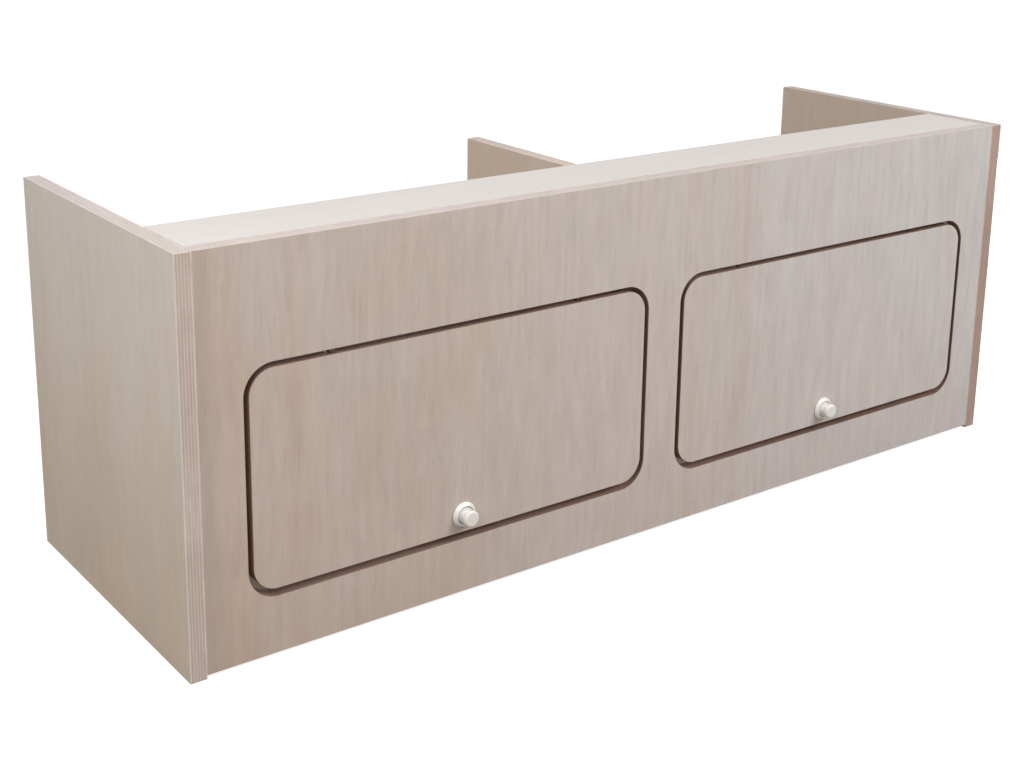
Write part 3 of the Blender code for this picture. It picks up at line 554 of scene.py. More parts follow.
veneers = {
    "frontVeneer": {
        "grain": 2, "shift": (0.57, 0.0, 0.12), "bandScale": 16.0, "bands": 0.45, "wash": 0.35,
        "streaks": 0.28, "hairs": 0.07, "figure": 0.1,
        # cooler to the right, and warmer and darker towards the bottom as painted shade from the light above:
        # axis, pivot and slope
        "slopes": [(0, 0.0, 0.75), (2, 0.31, 0.4)],
        "stops": [(0.0, "#c3ae9f"), (0.25, "#c7b9af"), (0.5, "#cabfba"), (0.75, "#ccc5c2"), (1.0, "#cccbc9")],
        # tan bands from the left end, 0, to the right end, 1, each stop with a strength of up to 255
        "tan": [(0.0, 170), (0.03, 130), (0.045, 210), (0.06, 80), (0.085, 50), (0.1, 230), (0.112, 80),
                (0.14, 70), (0.152, 180), (0.165, 40), (0.215, 30), (0.236, 160), (0.25, 50), (0.29, 20),
                (0.312, 110), (0.33, 30), (0.5, 0), (0.528, 0), (0.538, 170), (0.552, 30), (0.588, 20),
                (0.606, 190), (0.62, 30), (0.7, 20), (0.86, 20), (0.88, 120), (0.9, 0)],
        "tanDepth": 0.75, "tanColour": "#c3ab9b",
        # painted shade, by axis, start, where it's full, and depth: a shadow line at the left end, darker
        # towards the bottom from the light above, and a contact shadow along the foot's arris
        "rims": [(0, -0.462, -0.482, 0.13), (2, 0.075, 0.02, 0.03), (2, 0.004, 0.0015, 0.2)],
        # x, z, radius and depth
        "patches": [(-0.278, 0.305, 0.022, 0.5), (-0.112, 0.325, 0.035, 0.5), (0.30, 0.235, 0.045, 0.3),
                    (0.232, 0.13, 0.025, 0.3), (-0.105, 0.12, 0.02, 0.3)],
    },
    "sideVeneer": {
        "grain": 2, "shift": (0.2, 0.7, -0.2), "bandScale": 9.0, "bands": 0.5, "wash": 0.4,
        # painted shade: the tone climbs with height, lighter at the top and darker at the bottom as the light
        # falls from above
        "streaks": 0.13, "figure": 0.08, "slopes": [(2, 0.0, 1.2)],
        "stops": [(0.4, "#bda890"), (0.62, "#c5b6a4"), (0.8, "#ccc2b5"), (1.0, "#cec7bf")],
    },
    "stripVeneer": {
        "shift": (0.5, 0.1, 0.9), "bandScale": 14.0, "bands": 0.7,
        "streaks": 0.05, "hairs": 0.02, "figure": 0.03, "sway": 0.02,
        "stops": [(0.0, "#ccc4be"), (0.5, "#d1cbc7"), (1.0, "#d4d1ce")],
    },
    "innerVeneer": {
        "grain": 2, "shift": (0.8, 0.3, 0.6),
        "stops": [(0.0, "#ceb7a2"), (0.5, "#d5c2b1"), (1.0, "#d9cabc")],
    },
    "floorVeneer": {
        "shift": (0.4, 0.2, 0.1), "rims": [(1, -0.02, -0.075, 0.3)],  # painted shade: darker towards the front panel, where less light reaches
        "stops": [(0.0, "#b8a18c"), (0.5, "#bfab98"), (1.0, "#c4b4a3")],
    },
}

edgeLook = {
    "thickness": 0.015, "plies": 11, "longGrain": "#d0c1b7", "endGrain": "#c2ada1", "outer": "#dad0c8",
    "glue": 0.12, "pores": 0.12, "washColour": "#c4bcb8", "washShare": 0.6,
    "faceShade": 0.0,  # painted shade: how much darker an edge gets towards the front face
}

edges = {
    "leftSideEdge": {"axis": 0, "low": -0.5},
    "rightSideEdge": {"axis": 0, "low": 0.485, "longGrain": "#b99f93", "endGrain": "#a18678",
                      "outer": "#bfa79a", "glue": 0.15, "washColour": "#c0b6b0", "washShare": 0.8},
    "dividerEdge": {"axis": 0, "low": -0.0075},
    "frontEdge": {"axis": 1, "low": frontY},
    # the edges in the gaps: darker, redder plies, painted shade for the shadow in the gaps
    "gapEdge": {"axis": 1, "low": frontY, "longGrain": "#a58676", "endGrain": "#846557", "outer": "#967869",
                "glue": 0.2, "pores": 0.2, "faceShade": 0.3},
    "stripEdge": {"axis": 2, "low": 0.345},
    "floorEdge": {"axis": 2, "low": 0.012},
}

smoothLook = {"driftScale": 90.0, "skinScale": 900.0, "metal": 1.0}

smooths = {
    "whitePlastic": {"dark": "#e2dfd9", "light": "#ecebe6", "driftScale": 60.0, "skinScale": 700.0,
                     "skin": 0.05, "rough": 0.30, "metal": 0.0},
    "greyPlastic": {"dark": "#6c6c6b", "light": "#7b7b79", "driftScale": 40.0, "skinScale": 1800.0,
                    "skin": 0.35, "rough": 0.48, "metal": 0.0},
    "brightSteel": {"dark": "#b9babd", "light": "#cdcdce", "skin": 0.12, "rough": 0.30},
    "darkSteel": {"dark": "#3b3837", "light": "#4a4644", "skinScale": 1200.0, "skin": 0.2, "rough": 0.52},
    # the hinge links' dark steel, browned as painted shade to take the shadow tone of the gaps
    "linkSteelWithPaintedShade": {"dark": "#6b574a", "light": "#7d6757", "skinScale": 1200.0, "skin": 0.2, "rough": 0.5,
                     "metal": 0.6},
    # brass, darkened as painted shade so the barrels show no bright flecks in the shadow of the gaps
    "brass": {"dark": "#6d5a42", "light": "#80694c", "skin": 0.1, "rough": 0.42},
    "tongueBirch": {"dark": "#c3a886", "light": "#d6be9e", "driftScale": 50.0, "skinScale": 400.0,
                    "skin": 0.3, "rough": 0.65, "metal": 0.0, "stretch": (0.2, 1, 0.2)},
}

makeCamera()
for lampName, lampSpec in lamps.items():
    makeLamp(lampName, lampSpec)
makeStage()
print("camera, lamps and floor made")

finish = {}
for build, base, specs in (
    (limedVeneer, veneerLook, veneers), (plyEdge, edgeLook, edges), (smoothFinish, smoothLook, smooths),
):
    for name, spec in specs.items():
        finish[name] = newFinish(name, build, {**base, **spec})
print("finishes made:", len(finish))


screwSpec = {
    "headRadius": 0.0032, "headHeight": 0.0018, "shankRadius": 0.0016, "coreRadius": 0.00125, "pitch": 0.0012,
    "recess": 0.0009, "barHalf": 0.00042, "barReach": 0.0017, "barWall": 0.00018, "tip": 0.0022,
    "flat": 0.72,  # the share of the head's radius that is flat
    "brim": 0.45,  # and the height at its brim, as a share of its full height
    "steps": 40, "flatSteps": 13, "brimSteps": 6, "pitchSteps": 5,
}

fit = 0.0003  # room round a part in its hole
past = 0.002  # how far a cut reaches beyond a face
edgeKind, gapKind = 2, 3  # 0 and 1 are a board's outer and inner face


def cornersOf(node):
    # the low and the high corner of a CAD node's box.
    return [np.array(corner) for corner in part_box(node)]


def grown(node):
    # a node's box, with room for a fit all round.
    low, high = cornersOf(node)
    return boxShape(low - fit, high + fit, edgeKind)


def holesFor(*parts, kind=edgeKind):
    # holes round screws' shanks. A screw's longer side is its axis.
    holes = []
    for name in screwsOf(*parts):
        low, high = cornersOf(name)
        axis = int(np.argmax(high - low))
        start = (low + high) / 2
        end = start.copy()
        start[axis], end[axis] = low[axis] - fit, high[axis] + fit
        holes.append(rodShape(start, end, screwSpec["shankRadius"] + fit, kind, 20))
    return holes


def boreFor(barrelName, sign):
    # a bore round a hinge barrel, open towards the gap. Sign is 1 over the gap.
    low, high = cornersOf(barrelName)
    start = (low + high) / 2
    end = start.copy()
    start[2], end[2] = low[2] - (past if sign > 0 else fit), high[2] + (past if sign < 0 else fit)
    return rodShape(start, end, (high[0] - low[0]) / 2 + fit / 2, gapKind, 40)


def screwsOf(*parts):
    # the screws with one of these parts in their names.
    screws = [name for name in frame["nodes"] if name.endswith("_screw")]
    return [name for name in screws if any(part in name for part in parts)]


boardSpec = {"ease": 0.0005, "cornerRadius": 0.0010, "steps": (3, 4)}

boards = {
    # thickness axis, whether the outer face is at the high end, finishes (outer, inner, edge), slot
    "left_side_panel": (0, False, "sideVeneer innerVeneer leftSideEdge", "side_ply"),
    "right_side_panel": (0, True, "sideVeneer innerVeneer rightSideEdge", "side_ply"),
    "centre_divider": (0, False, "innerVeneer innerVeneer dividerEdge", "inner_ply"),
    "top_strip": (2, True, "stripVeneer floorVeneer stripEdge", "top_ply"),
    "floor_board": (2, True, "floorVeneer floorVeneer floorEdge", "inner_ply"),
}


def boardShape(node, axis, outerHigh):
    # an eased slab between the CAD node's corners, across one axis.
    low, high = cornersOf(node)
    first, second = [other for other in range(3) if other != axis]
    size = high - low
    corners = rectangle(size[first], size[second])
    spec, kinds = boardSpec, (0, 1, edgeKind)
    shape = slab(corners, spec["cornerRadius"], size[axis], spec["ease"], *spec["steps"], kinds)
    unit = np.eye(3)
    origin = low.copy()
    if outerHigh:
        origin[axis] = high[axis]
    return placed(shape, origin, unit[first], unit[second], -unit[axis] if outerHigh else unit[axis])


def cutsFor(node):
    # room for what is let into a board.
    if node == "centre_divider":
        return holesFor("_stay_divider_")
    side = node.split("_")[0]
    letIn = {
        side + "_side_panel": ("floor_board", side + "_front_end_tongue", side + "_strip_end_tongue"),
        "floor_board": ("centre_divider", "front_to_floor_tongue"),
        "top_strip": ("left_strip_end_tongue", "right_strip_end_tongue", "front_to_strip_tongue"),
    }
    return [grown(other) for other in letIn[node]]


for node, (axis, outerHigh, looks, slotName) in boards.items():
    makePiece(node, boardShape(node, axis, outerHigh), "carcass", looks, cutsFor(node))
print("boards made")

frontSpec = {
    "centre": 0.233, "length": 0.425, "bottom": 0.0555, "top": 0.259,
    "radius": 0.027, "ease": 0.0004, "arcSteps": 14, "easeSteps": 4,
}


def frontPanelHalf(spec, low, high):
    # along rays from the middles of the opening's corner arcs, the surface runs from the panel's border over
    # its face, back through the opening and out again over its back.
    tiny, touching = 1e-9, 1e-7
    ease, radius, middle = spec["ease"], spec["radius"], (spec["bottom"] + spec["top"]) / 2
    halfLength = spec["length"] / 2 - radius
    halfHeight = (spec["top"] - spec["bottom"]) / 2 - radius
    end, foot, head = high[0] - ease, low[2] + ease, high[2] - ease
    centres, rays, reaches, bends = [], [], [], []
    for right, up in ((-1, -1), (1, -1), (1, 1), (-1, 1)):
        centre = np.array([spec["centre"] + right * halfLength, middle + up * halfHeight])
        reachX = end - centre[0] if right > 0 else centre[0]
        reachZ = head - centre[1] if up > 0 else centre[1] - foot
        bend = np.arctan2(reachZ, reachX)  # the ray that meets the border's own corner
        angle = np.unique(np.append(np.linspace(0, np.pi / 2, spec["arcSteps"] + 1), bend))
        angle = angle[::-1] if right * up < 0 else angle
        reach = np.minimum(reachX / np.maximum(np.cos(angle), tiny), reachZ / np.maximum(np.sin(angle), tiny))
        bends.append(sum(map(len, reaches)) + int(np.argmin(np.abs(angle - bend))))
        centres.append(np.broadcast_to(centre, (len(angle), 2)))
        rays.append(np.stack([right * np.cos(angle), up * np.sin(angle)], -1))
        reaches.append(reach)
    centres, rays, reach = np.concatenate(centres), np.concatenate(rays), np.concatenate(reaches)
    border = centres + rays * reach[:, None]
    inset, depth = arris(high[1] - low[1], ease, spec["easeSteps"])
    lip = centres[:, None] + rays[:, None] * (radius + inset)[None, :, None]
    flat = np.concatenate([border[:, None], lip, border[:, None]], 1)
    deep = np.concatenate([[0], depth, [high[1] - low[1]]])
    kinds = [0] + [gapKind] * (len(depth) - 1) + [1]
    ring = gridShape(liftedToPanel(flat, deep, low[1]), closedRows=True, kinds=kinds)
    # the outer edge goes from the middle's foot round to its head, and is pushed out by the ease
    path = border[bends[0] : bends[3] + 1]
    outX = 1.0 * (path[:, 0] > end - touching)
    outZ = 1.0 * (path[:, 1] > head - touching) - (path[:, 1] < foot + touching)
    flat = path[:, None] + np.stack([outX, outZ], -1)[:, None] * (ease - inset)[None, :, None]
    return joined(ring, gridShape(liftedToPanel(flat, depth, low[1]), kinds=edgeKind))


def liftedToPanel(flat, depth, faceY):
    # flat x and z, with y from the panel's face and a depth.
    y = np.broadcast_to(faceY + depth, flat.shape[:2])
    return np.stack([flat[..., 0], y, flat[..., 1]], -1)


tongues = [name for name in frame["nodes"] if name.endswith("_tongue")]
panelLow, panelHigh = cornersOf("front_panel")
panelHigh[0] = cornersOf("right_side_panel")[0][0]  # its ends are glued tight to the side panels
rightHalf = frontPanelHalf(frontSpec, panelLow, panelHigh)
leftHalf = {**rightHalf, "points": rightHalf["points"] * (-1, 1, 1)}
panelCuts = [grown(name) for name in tongues if "front_" in name]
panelCuts += [boreFor(name, 1) for name in frame["nodes"] if name.endswith("upper_barrel")]
panelCuts += holesFor("_strike_")
frontLooks = "frontVeneer innerVeneer frontEdge gapEdge"
makePiece("front_panel", joined(rightHalf, leftHalf), "carcass", frontLooks, panelCuts)
print("front panel made")

for tongueName in tongues:  # they keep the CAD's shape
    tongueMesh = frame["nodes"][tongueName].data
    tongueMesh.materials.clear()
    tongueMesh.materials.append(finish["tongueBirch"])


doorSpec = {"radius": 0.0225, "ease": 0.0004, "boreRadius": 0.0095, "boreEnd": 0.018}


def makeDoor(side):
    # an eased slab with the lock's bore and the hinges' bores.
    low, high = cornersOf(side + "_door_panel")
    size = high - low
    corners = rectangle(size[0], size[2])
    steps = frontSpec["arcSteps"], frontSpec["easeSteps"]
    shape = slab(corners, doorSpec["radius"], size[1], doorSpec["ease"], *steps, (0, 1, gapKind))
    shape = placed(shape, low, *inFront)
    start, end = lockAxis(side) + (0, -past, 0), lockAxis(side) + (0, doorSpec["boreEnd"], 0)
    cuts = [rodShape(start, end, doorSpec["boreRadius"], edgeKind, 48)]
    cuts += [boreFor(side + place + "_hinge_lower_barrel", -1) for place in ("_inner", "_outer")]
    cuts += holesFor(side + "_lock_case_", side + "_stay_door_")
    makePiece(side + "_door_panel", shape, side + "_door", frontLooks, cuts)


def lockAxis(side):
    # where the lock's axis goes through the door's face.
    low, high = cornersOf(side + "_lock_rosette")
    return np.array([(low[0] + high[0]) / 2, frontY, (low[2] + high[2]) / 2])


hingeSpec = {
    "chamfer": 0.0004, "slotHalf": 0.002, "linkEase": 0.0003, "linkRound": 0.0012,
    "slotFront": 0.0032, "slotBack": 0.0035,  # how far the slot reaches in front of and behind the axis
    "slotRoom": 0.0005,
}


def makeHinges(side):
    # a barrel is a turned pin with a slot for the link, which is a flat bar with round corners.
    spec = hingeSpec
    for place in ("_inner", "_outer"):
        stem = side + place + "_hinge_"
        linkLow, linkHigh = cornersOf(stem + "link")
        for end, body, sign in (("upper_barrel", "carcass", 1), ("lower_barrel", side + "_door", -1)):
            low, high = cornersOf(stem + end)
            middle = (low + high) / 2
            mouth, slotEnd = low[2], linkHigh[2] + spec["slotRoom"]
            if sign < 0:
                mouth, slotEnd = high[2], linkLow[2] - spec["slotRoom"]
            corners = rectangle((high[0] - low[0]) / 2, high[2] - low[2])
            shape = turned(corners, [0, spec["chamfer"], spec["chamfer"], 0], arcSteps=3)
            shape = placed(shape, (middle[0], middle[1], mouth), *towards((0, 0, sign)))
            bottom, top = sorted((mouth - sign * past, slotEnd))
            slotLow = (middle[0] - spec["slotHalf"], middle[1] - spec["slotFront"], bottom)
            slotHigh = (middle[0] + spec["slotHalf"], middle[1] + spec["slotBack"], top)
            makePiece(stem + end, shape, body, "brass", [boxShape(slotLow, slotHigh)])
        size = linkHigh - linkLow
        shape = slab(rectangle(size[1], size[2]), spec["linkRound"], size[0], spec["linkEase"])
        shape = placed(shape, linkLow, *fromSide)
        makePiece(stem + "link", shape, side + "_hinge_links", "linkSteelWithPaintedShade")


lockSpec = {
    "proud": 0.014, "headRadius": 0.0077, "headBack": 0.0095, "neckRadius": 0.005,
    "guideProud": 0.0044, "guideSink": 0.001, "stemRadius": 0.004, "camDepth": 0.022,
    # the rounding of each corner of a profile or outline, in its order
    "buttonRounds": (0, 0.0022, 0.001, 0.0008, 0.0008, 0.0007, 0.0004, 0.0002, 0.0003, 0),
    "rosetteRounds": (0.0003, 0.0004, 0.0008, 0.0008, 0.0006, 0.0002, 0.0001, 0.0001, 0.0001),
    "caseRounds": (0.0008, 0.0008, 0.0008, 0.0015, 0.003, 0.003, 0.0015, 0.0008),
    "lipDrop": 0.001, "lipWidth": 0.0005, "slopeInset": 0.0006, "rimHalf": 0.0004,
    "rosetteRadius": 0.012, "rosetteHeight": 0.0044, "rim": 0.0018, "bore": 0.0082, "sleeve": 0.0092,
    "sleeveDepth": 0.015, "caseHalf": 0.021, "caseEar": 0.009, "caseFlange": 0.002, "caseBlock": 0.022,
    "caseEase": 0.0007, "caseBore": (0.013, 0.042), "caseRoom": 0.0005,
    "fieldHalf": 0.015, "fieldDepth": 0.0008, "fieldMargin": 0.005,  # the sunken field in the case's back
    "nose": 0.006, "noseBevel": 0.002, "boltRound": 0.0005, "boltEase": 0.0004,
}


def makeButton(side):
    # turned. The stem's end leans by 45 degrees: each point there goes back by its own height.
    spec = lockSpec
    head, neck, stem = spec["headRadius"], spec["neckRadius"], spec["stemRadius"]
    back, guide, sink, end = spec["headBack"], spec["guideProud"], -spec["guideSink"], -spec["camDepth"]
    corners = [
        (0, spec["proud"]), (head, spec["proud"]), (head, back), (neck, back), (neck, guide),
        (head, guide), (head, sink), (stem, sink), (stem, end), (0, end),
    ]
    around, arcSteps = 72, 8
    shape = turned(corners, spec["buttonRounds"], around, arcSteps)
    points = shape["points"].reshape(around, -1, 3)
    stemEnd = (len(corners) - 2) * (arcSteps + 1)
    points[:, stemEnd:, 2] -= points[:, stemEnd:, 1]
    shape = placed(shape, lockAxis(side), *outFront)
    makePiece(side + "_lock_button", shape, side + "_lock_button", "whitePlastic")


def makeRosette(side):
    # a turned ring: a sloping collar on the door's face, and a sleeve in its bore.
    spec = lockSpec
    bore, sleeve, outer = spec["bore"], spec["sleeve"], spec["rosetteRadius"]
    height, rim, root = spec["rosetteHeight"], spec["rim"], fit - spec["sleeveDepth"]
    inset, half = spec["slopeInset"], spec["rimHalf"]
    corners = [
        (bore, height - spec["lipDrop"]), (bore + spec["lipWidth"], height), (sleeve + inset, height),
        (outer - inset, rim + half), (outer, rim - half), (outer, fit),
        (sleeve, fit), (sleeve, root), (bore, root),
    ]
    shape = turned(corners, spec["rosetteRounds"], 72, 5, ring=True)
    shape = placed(shape, lockAxis(side), *outFront)
    makePiece(side + "_lock_rosette", shape, side + "_door", "whitePlastic")


def makeCase(side):
    # a hat section carried up the lock's height, with the bolt's channel and the stem's bore.
    spec = lockSpec
    low, high = cornersOf(side + "_lock_case")
    half, flange, block, room = spec["caseHalf"], spec["caseFlange"], spec["caseBlock"], spec["caseRoom"]
    end = half + spec["caseEar"]
    corners = [
        (-end, 0), (end, 0), (end, flange), (half, flange),
        (half, block), (-half, block), (-half, flange), (-end, flange),
    ]
    shape = slab(corners, spec["caseRounds"], high[2] - low[2], spec["caseEase"], easeSteps=3)
    axis = lockAxis(side)
    shape = placed(shape, (axis[0], low[1], low[2]), *fromAbove)
    channelLow, channelHigh = cornersOf(side + "_lock_bolt")
    channelLow, channelHigh = channelLow - room, channelHigh + room
    channelLow[2] = low[2] - past
    fieldLow = (axis[0] - spec["fieldHalf"], high[1] - spec["fieldDepth"], low[2] + spec["fieldMargin"])
    fieldHigh = (axis[0] + spec["fieldHalf"], high[1] + past, high[2] - spec["fieldMargin"])
    start, end = (axis + (0, depth, 0) for depth in spec["caseBore"])
    cuts = [
        boxShape(channelLow, channelHigh),
        rodShape(start, end, spec["stemRadius"] + room),
        boxShape(fieldLow, fieldHigh),
    ]
    cuts += holesFor(side + "_lock_case_", kind=0)
    makePiece(side + "_lock_case", shape, side + "_door", "greyPlastic", cuts)


def makeBolt(side):
    # a bar with a ramp on top and a thinner nose.
    spec, nose, bevel = lockSpec, lockSpec["nose"], lockSpec["noseBevel"]
    low, high = cornersOf(side + "_lock_bolt")
    axis = lockAxis(side)
    front, back = low[1] - axis[1], high[1] - axis[1]
    tip, ramp = low[2] - axis[2], spec["camDepth"] + fit * np.sqrt(2)
    corners = [
        (front, tip), (front + nose - bevel, tip), (front + nose, tip + bevel), (front + nose, tip + nose),
        (back, tip + nose), (back, back - ramp), (front, front - ramp),
    ]
    shape = slab(corners, spec["boltRound"], high[0] - low[0], spec["boltEase"], cornerSteps=3)
    shape = placed(shape, (low[0], axis[1], axis[2]), *fromSide)
    makePiece(side + "_lock_bolt", shape, side + "_lock_bolt", "brightSteel")


strikeSpec = {
    "earStart": 0.032, "earEnd": 0.041, "plateTop": 0.055, "ease": 0.0003,
    "rounds": (0.0025, 0.0025, 0.0025, 0.0015, 0.0015, 0.0015, 0.0015, 0.0025),
}


def makeStrike(side):
    # a plate with an ear at each end.
    low, high = cornersOf(side + "_strike_plate")
    start, end, plateTop = strikeSpec["earStart"], strikeSpec["earEnd"], strikeSpec["plateTop"]
    foot, earTop = low[2], high[2]
    corners = [
        (-end, foot), (end, foot), (end, earTop), (start, earTop),
        (start, plateTop), (-start, plateTop), (-start, earTop), (-end, earTop),
    ]
    shape = slab(corners, strikeSpec["rounds"], high[1] - low[1], strikeSpec["ease"], cornerSteps=5)
    shape = placed(shape, ((low[0] + high[0]) / 2, low[1], 0), *inFront)
    cuts = holesFor(side + "_strike_", kind=0)
    makePiece(side + "_strike_plate", shape, "carcass", "brightSteel", cuts)


staySpec = {
    "plane": 0.042, "anchorDepth": 0.040, "anchorDrop": 0.022, "pivotDepth": 0.034, "pivotDrop": 0.130,
    "tubeRadius": 0.006, "tubeStart": 0.008, "tubeNeck": 0.003, "plug": 0.006, "endRoom": 0.018,
    "bore": 0.0043, "rodRadius": 0.004, "rodStart": 0.016, "eyeRadius": 0.005, "eyeHalf": 0.003,
    "pinRadius": 0.0025, "pinHead": 0.004, "pinHeadHeight": 0.0015, "collar": 0.0045,
    "plate": 0.002, "plateRound": 0.003, "dividerHalf": 0.0075, "doorDepth": 0.015, "lugGap": 0.0025,
    "footLength": 0.022, "stubLength": 0.002, "stubSink": 0.001, "ease": 0.0003, "eyeRound": 0.0006,
    "tubeRounds": (0, 0.0004, 0.0003, 0.0008, 0.0018, 0.0004, 0, 0), "rodRounds": (0, 0.0004, 0.0008, 0),
    "studRounds": (0, 0.0008, 0.0002, 0, 0, 0.0003, 0, 0), "stubRounds": (0, 0.0003, 0, 0),
    "angleRounds": (0.0028, 0.0006, 0.0006, 0.0008, 0.0008, 0.0008),
}


def stayPoints(side):
    # the stay's two pivots and the length between them.
    hinge = next(joint for joint in frame["joints"] if joint["name"] == side + "_door_hinge")
    x, height = sides[side] * staySpec["plane"], hinge["pos_m"][2]
    anchor = np.array([x, frontY + staySpec["anchorDepth"], height - staySpec["anchorDrop"]])
    pivot = np.array([x, frontY + staySpec["pivotDepth"], height - staySpec["pivotDrop"]])
    return anchor, pivot, np.linalg.norm(pivot - anchor)


def makeStay(side):
    # a turned tube, bored to its plug, and a turned bar. Each has a flat eye with a hole at its own pivot.
    spec = staySpec
    anchor, pivot, length = stayPoints(side)
    bore, neck, radius, start = spec["bore"], spec["tubeNeck"], spec["tubeRadius"], spec["tubeStart"]
    plug, tubeEnd = start + spec["plug"], length - spec["endRoom"]
    corners = [
        (0, plug), (bore, plug), (bore, tubeEnd), (radius, tubeEnd),
        (radius, start), (neck, start), (neck, 0), (0, 0),
    ]
    tube = turned(corners, spec["tubeRounds"])
    bar = turned(rectangle(spec["rodRadius"], spec["rodStart"] - length), spec["rodRounds"])
    turn = towards(pivot - anchor)
    for name, shape, centre, look, slotName in (
        ("_stay_tube", tube, anchor, "greyPlastic", "grey_plastic"),
        ("_stay_rod", bar, pivot, "brightSteel", "bright_steel"),
    ):
        half, radius, bend = spec["eyeHalf"], spec["eyeRadius"], spec["eyeRound"]
        eye = turned([(0, -half), (radius, -half), (radius, half), (0, half)], [0, bend, bend, 0], 40, 3)
        eye = placed(eye, centre, *fromSide)
        reach = np.array([half + past, 0, 0])
        hole = rodShape(centre - reach, centre + reach, spec["pinRadius"] + fit)
        makePiece(side + name, placed(shape, centre, *turn), side + name, look, [hole], [eye])
    makeDividerBracket(side, anchor)
    makeDoorBracket(side, pivot)


def makeDividerBracket(side, anchor):
    # a plate with a turned stud: a collar beside the tube's eye, a pin through it and a head.
    spec, sign = staySpec, sides[side]
    name = side + "_stay_divider_bracket"
    low, high = cornersOf(name)
    face = spec["dividerHalf"] + fit
    half, tall = (high[1] - low[1]) / 2, (high[2] - low[2]) / 2
    corners = [(-half, -tall), (half, -tall), (half, tall), (-half, tall)]
    plate = slab(corners, spec["plateRound"], spec["plate"], spec["ease"])
    plate = placed(plate, (sign * face, anchor[1], anchor[2]), (0, 1, 0), (0, 0, 1), (sign, 0, 0))
    near, far = spec["plane"] - spec["eyeHalf"] - fit, spec["plane"] + spec["eyeHalf"] + fit
    root, end = face + spec["plate"] / 2, far + spec["pinHeadHeight"]
    pin, head, collar = spec["pinRadius"], spec["pinHead"], spec["collar"]
    corners = [
        (0, end), (head, end), (head, far), (pin, far),
        (pin, near), (collar, near), (collar, root), (0, root),
    ]
    stud = turned(corners, spec["studRounds"], 40)
    stud = placed(stud, (0, anchor[1], anchor[2]), *towards((sign, 0, 0)))
    cuts = holesFor(side + "_stay_divider_", kind=0)
    makePiece(name, plate, "carcass", "darkSteel", cuts, [stud])


def makeDoorBracket(side, pivot):
    # an angle with a bent corner, carried up the lug's height, and a stub beside the rod's eye.
    spec, sign = staySpec, sides[side]
    name = side + "_stay_door_bracket"
    low, high = cornersOf(name)
    near = spec["plane"] + spec["eyeHalf"] + spec["lugGap"]
    far = near + spec["footLength"]
    base, tip, wall = spec["doorDepth"] + fit, high[1] - frontY, spec["plate"]
    inner, top = near + wall, base + wall
    corners = [(near, base), (far, base), (far, top), (inner, top), (inner, tip), (near, tip)]
    shape = slab(corners, spec["angleRounds"], high[2] - low[2], spec["ease"])
    shape = placed(shape, (0, frontY, low[2]), (sign, 0, 0), (0, 1, 0), (0, 0, 1))
    stub = turned(rectangle(spec["pinRadius"], spec["stubLength"]), spec["stubRounds"], 32, 3)
    stubEnd = near - spec["stubSink"]
    stub = placed(stub, (sign * stubEnd, pivot[1], pivot[2]), *towards((sign, 0, 0)))
    cuts = holesFor(side + "_stay_door_", kind=0)
    makePiece(name, shape, side + "_door", "darkSteel", cuts, [stub])


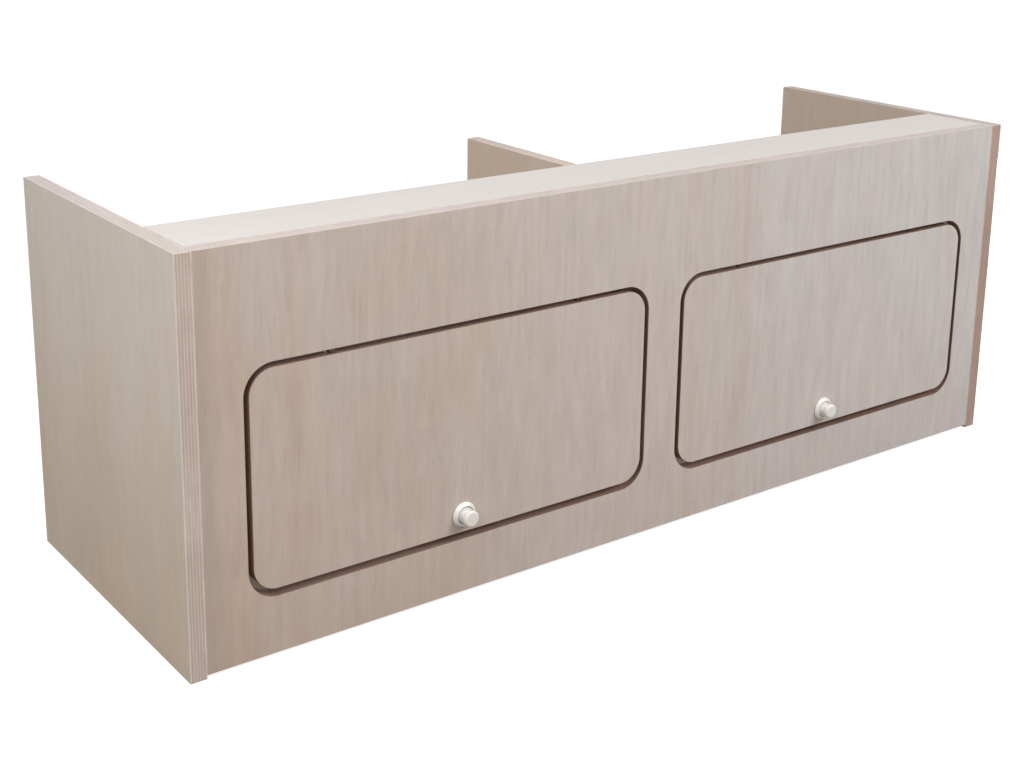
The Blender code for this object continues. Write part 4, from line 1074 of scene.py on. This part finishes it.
def screwShape(length):
    # a turned profile. A cross is sunk into the head, by smooth steps across its two bars. The thread rises
    # and falls once each pitch and runs round by one pitch each turn.
    spec = screwSpec
    head, height, shank = spec["headRadius"], spec["headHeight"], spec["shankRadius"]
    flat, brim, flatSteps = spec["flat"], spec["brim"], spec["flatSteps"]
    curve = np.linspace(0, np.pi / 2, spec["brimSteps"])[1:]
    brimRadius = flat * head + (1 - flat) * head * np.sin(curve)
    brimLevel = brim * height + (1 - brim) * height * np.cos(curve)
    radius = np.concatenate([np.linspace(0, flat * head, flatSteps), brimRadius, [head, shank]])
    level = np.concatenate([np.full(flatSteps, height), brimLevel, [0, 0]])
    rows = int(np.ceil((length - spec["tip"]) / spec["pitch"] * spec["pitchSteps"]))
    down = np.linspace(0, length - spec["tip"], rows + 1)[1:]
    radius = np.concatenate([radius, np.full(rows, shank), [0]])
    level = np.concatenate([level, -down, [-length]])
    angle = np.arange(spec["steps"]) * 2 * np.pi / spec["steps"]
    threaded = (level < -1e-6) & (level > -length + 1e-6)
    phase = level[None] / spec["pitch"] + angle[:, None] / (2 * np.pi)
    crest = 1 - np.abs(2 * (phase - np.floor(phase)) - 1)
    core = spec["coreRadius"] + (shank - spec["coreRadius"]) * crest
    radii = np.where(threaded[None], core, radius[None])
    x, y = radii * np.cos(angle)[:, None], radii * np.sin(angle)[:, None]

    def step(inside):
        share = np.clip(inside / spec["barWall"] + 0.5, 0, 1)
        return share * share * (3 - 2 * share)

    def bar(across, along):
        return step(spec["barHalf"] - np.abs(across)) * step(spec["barReach"] - np.abs(along))

    onTop = level > 0.9 * height
    z = level[None] - spec["recess"] * np.maximum(bar(x, y), bar(y, x)) * onTop[None]
    return gridShape(np.stack([x, y, z], -1), closedRows=True)


def makeScrews():
    # each lies along its CAD box's longer side, head outwards. Screws of one length share a shape.
    shapes = {}
    for name in screwsOf("_"):
        low, high = cornersOf(name)
        size, middle = high - low, (low + high) / 2
        axis = int(np.argmax(size))
        sign = -1 if axis == 0 and middle[0] < 0 else 1  # the divider's left screws face left
        length = round(float(size[axis] - screwSpec["headHeight"]), 5)
        if length not in shapes:
            shapes[length] = screwShape(length)
        out = np.eye(3)[axis] * sign
        origin = middle.copy()
        origin[axis] = (high[axis] if sign > 0 else low[axis]) - sign * screwSpec["headHeight"]
        body = frame["nodes"][name]["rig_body"]
        slotName, look = ("dark_steel", "darkSteel") if "_stay_" in name else ("bright_steel", "brightSteel")
        makePiece(name, placed(shapes[length], origin, *towards(out)), body, look)


for side in sides:
    for make in (makeDoor, makeHinges, makeButton, makeRosette, makeCase, makeBolt, makeStrike, makeStay):
        make(side)
    print(side, "door, hinges, lock and stay made")
makeScrews()
print("screws made")
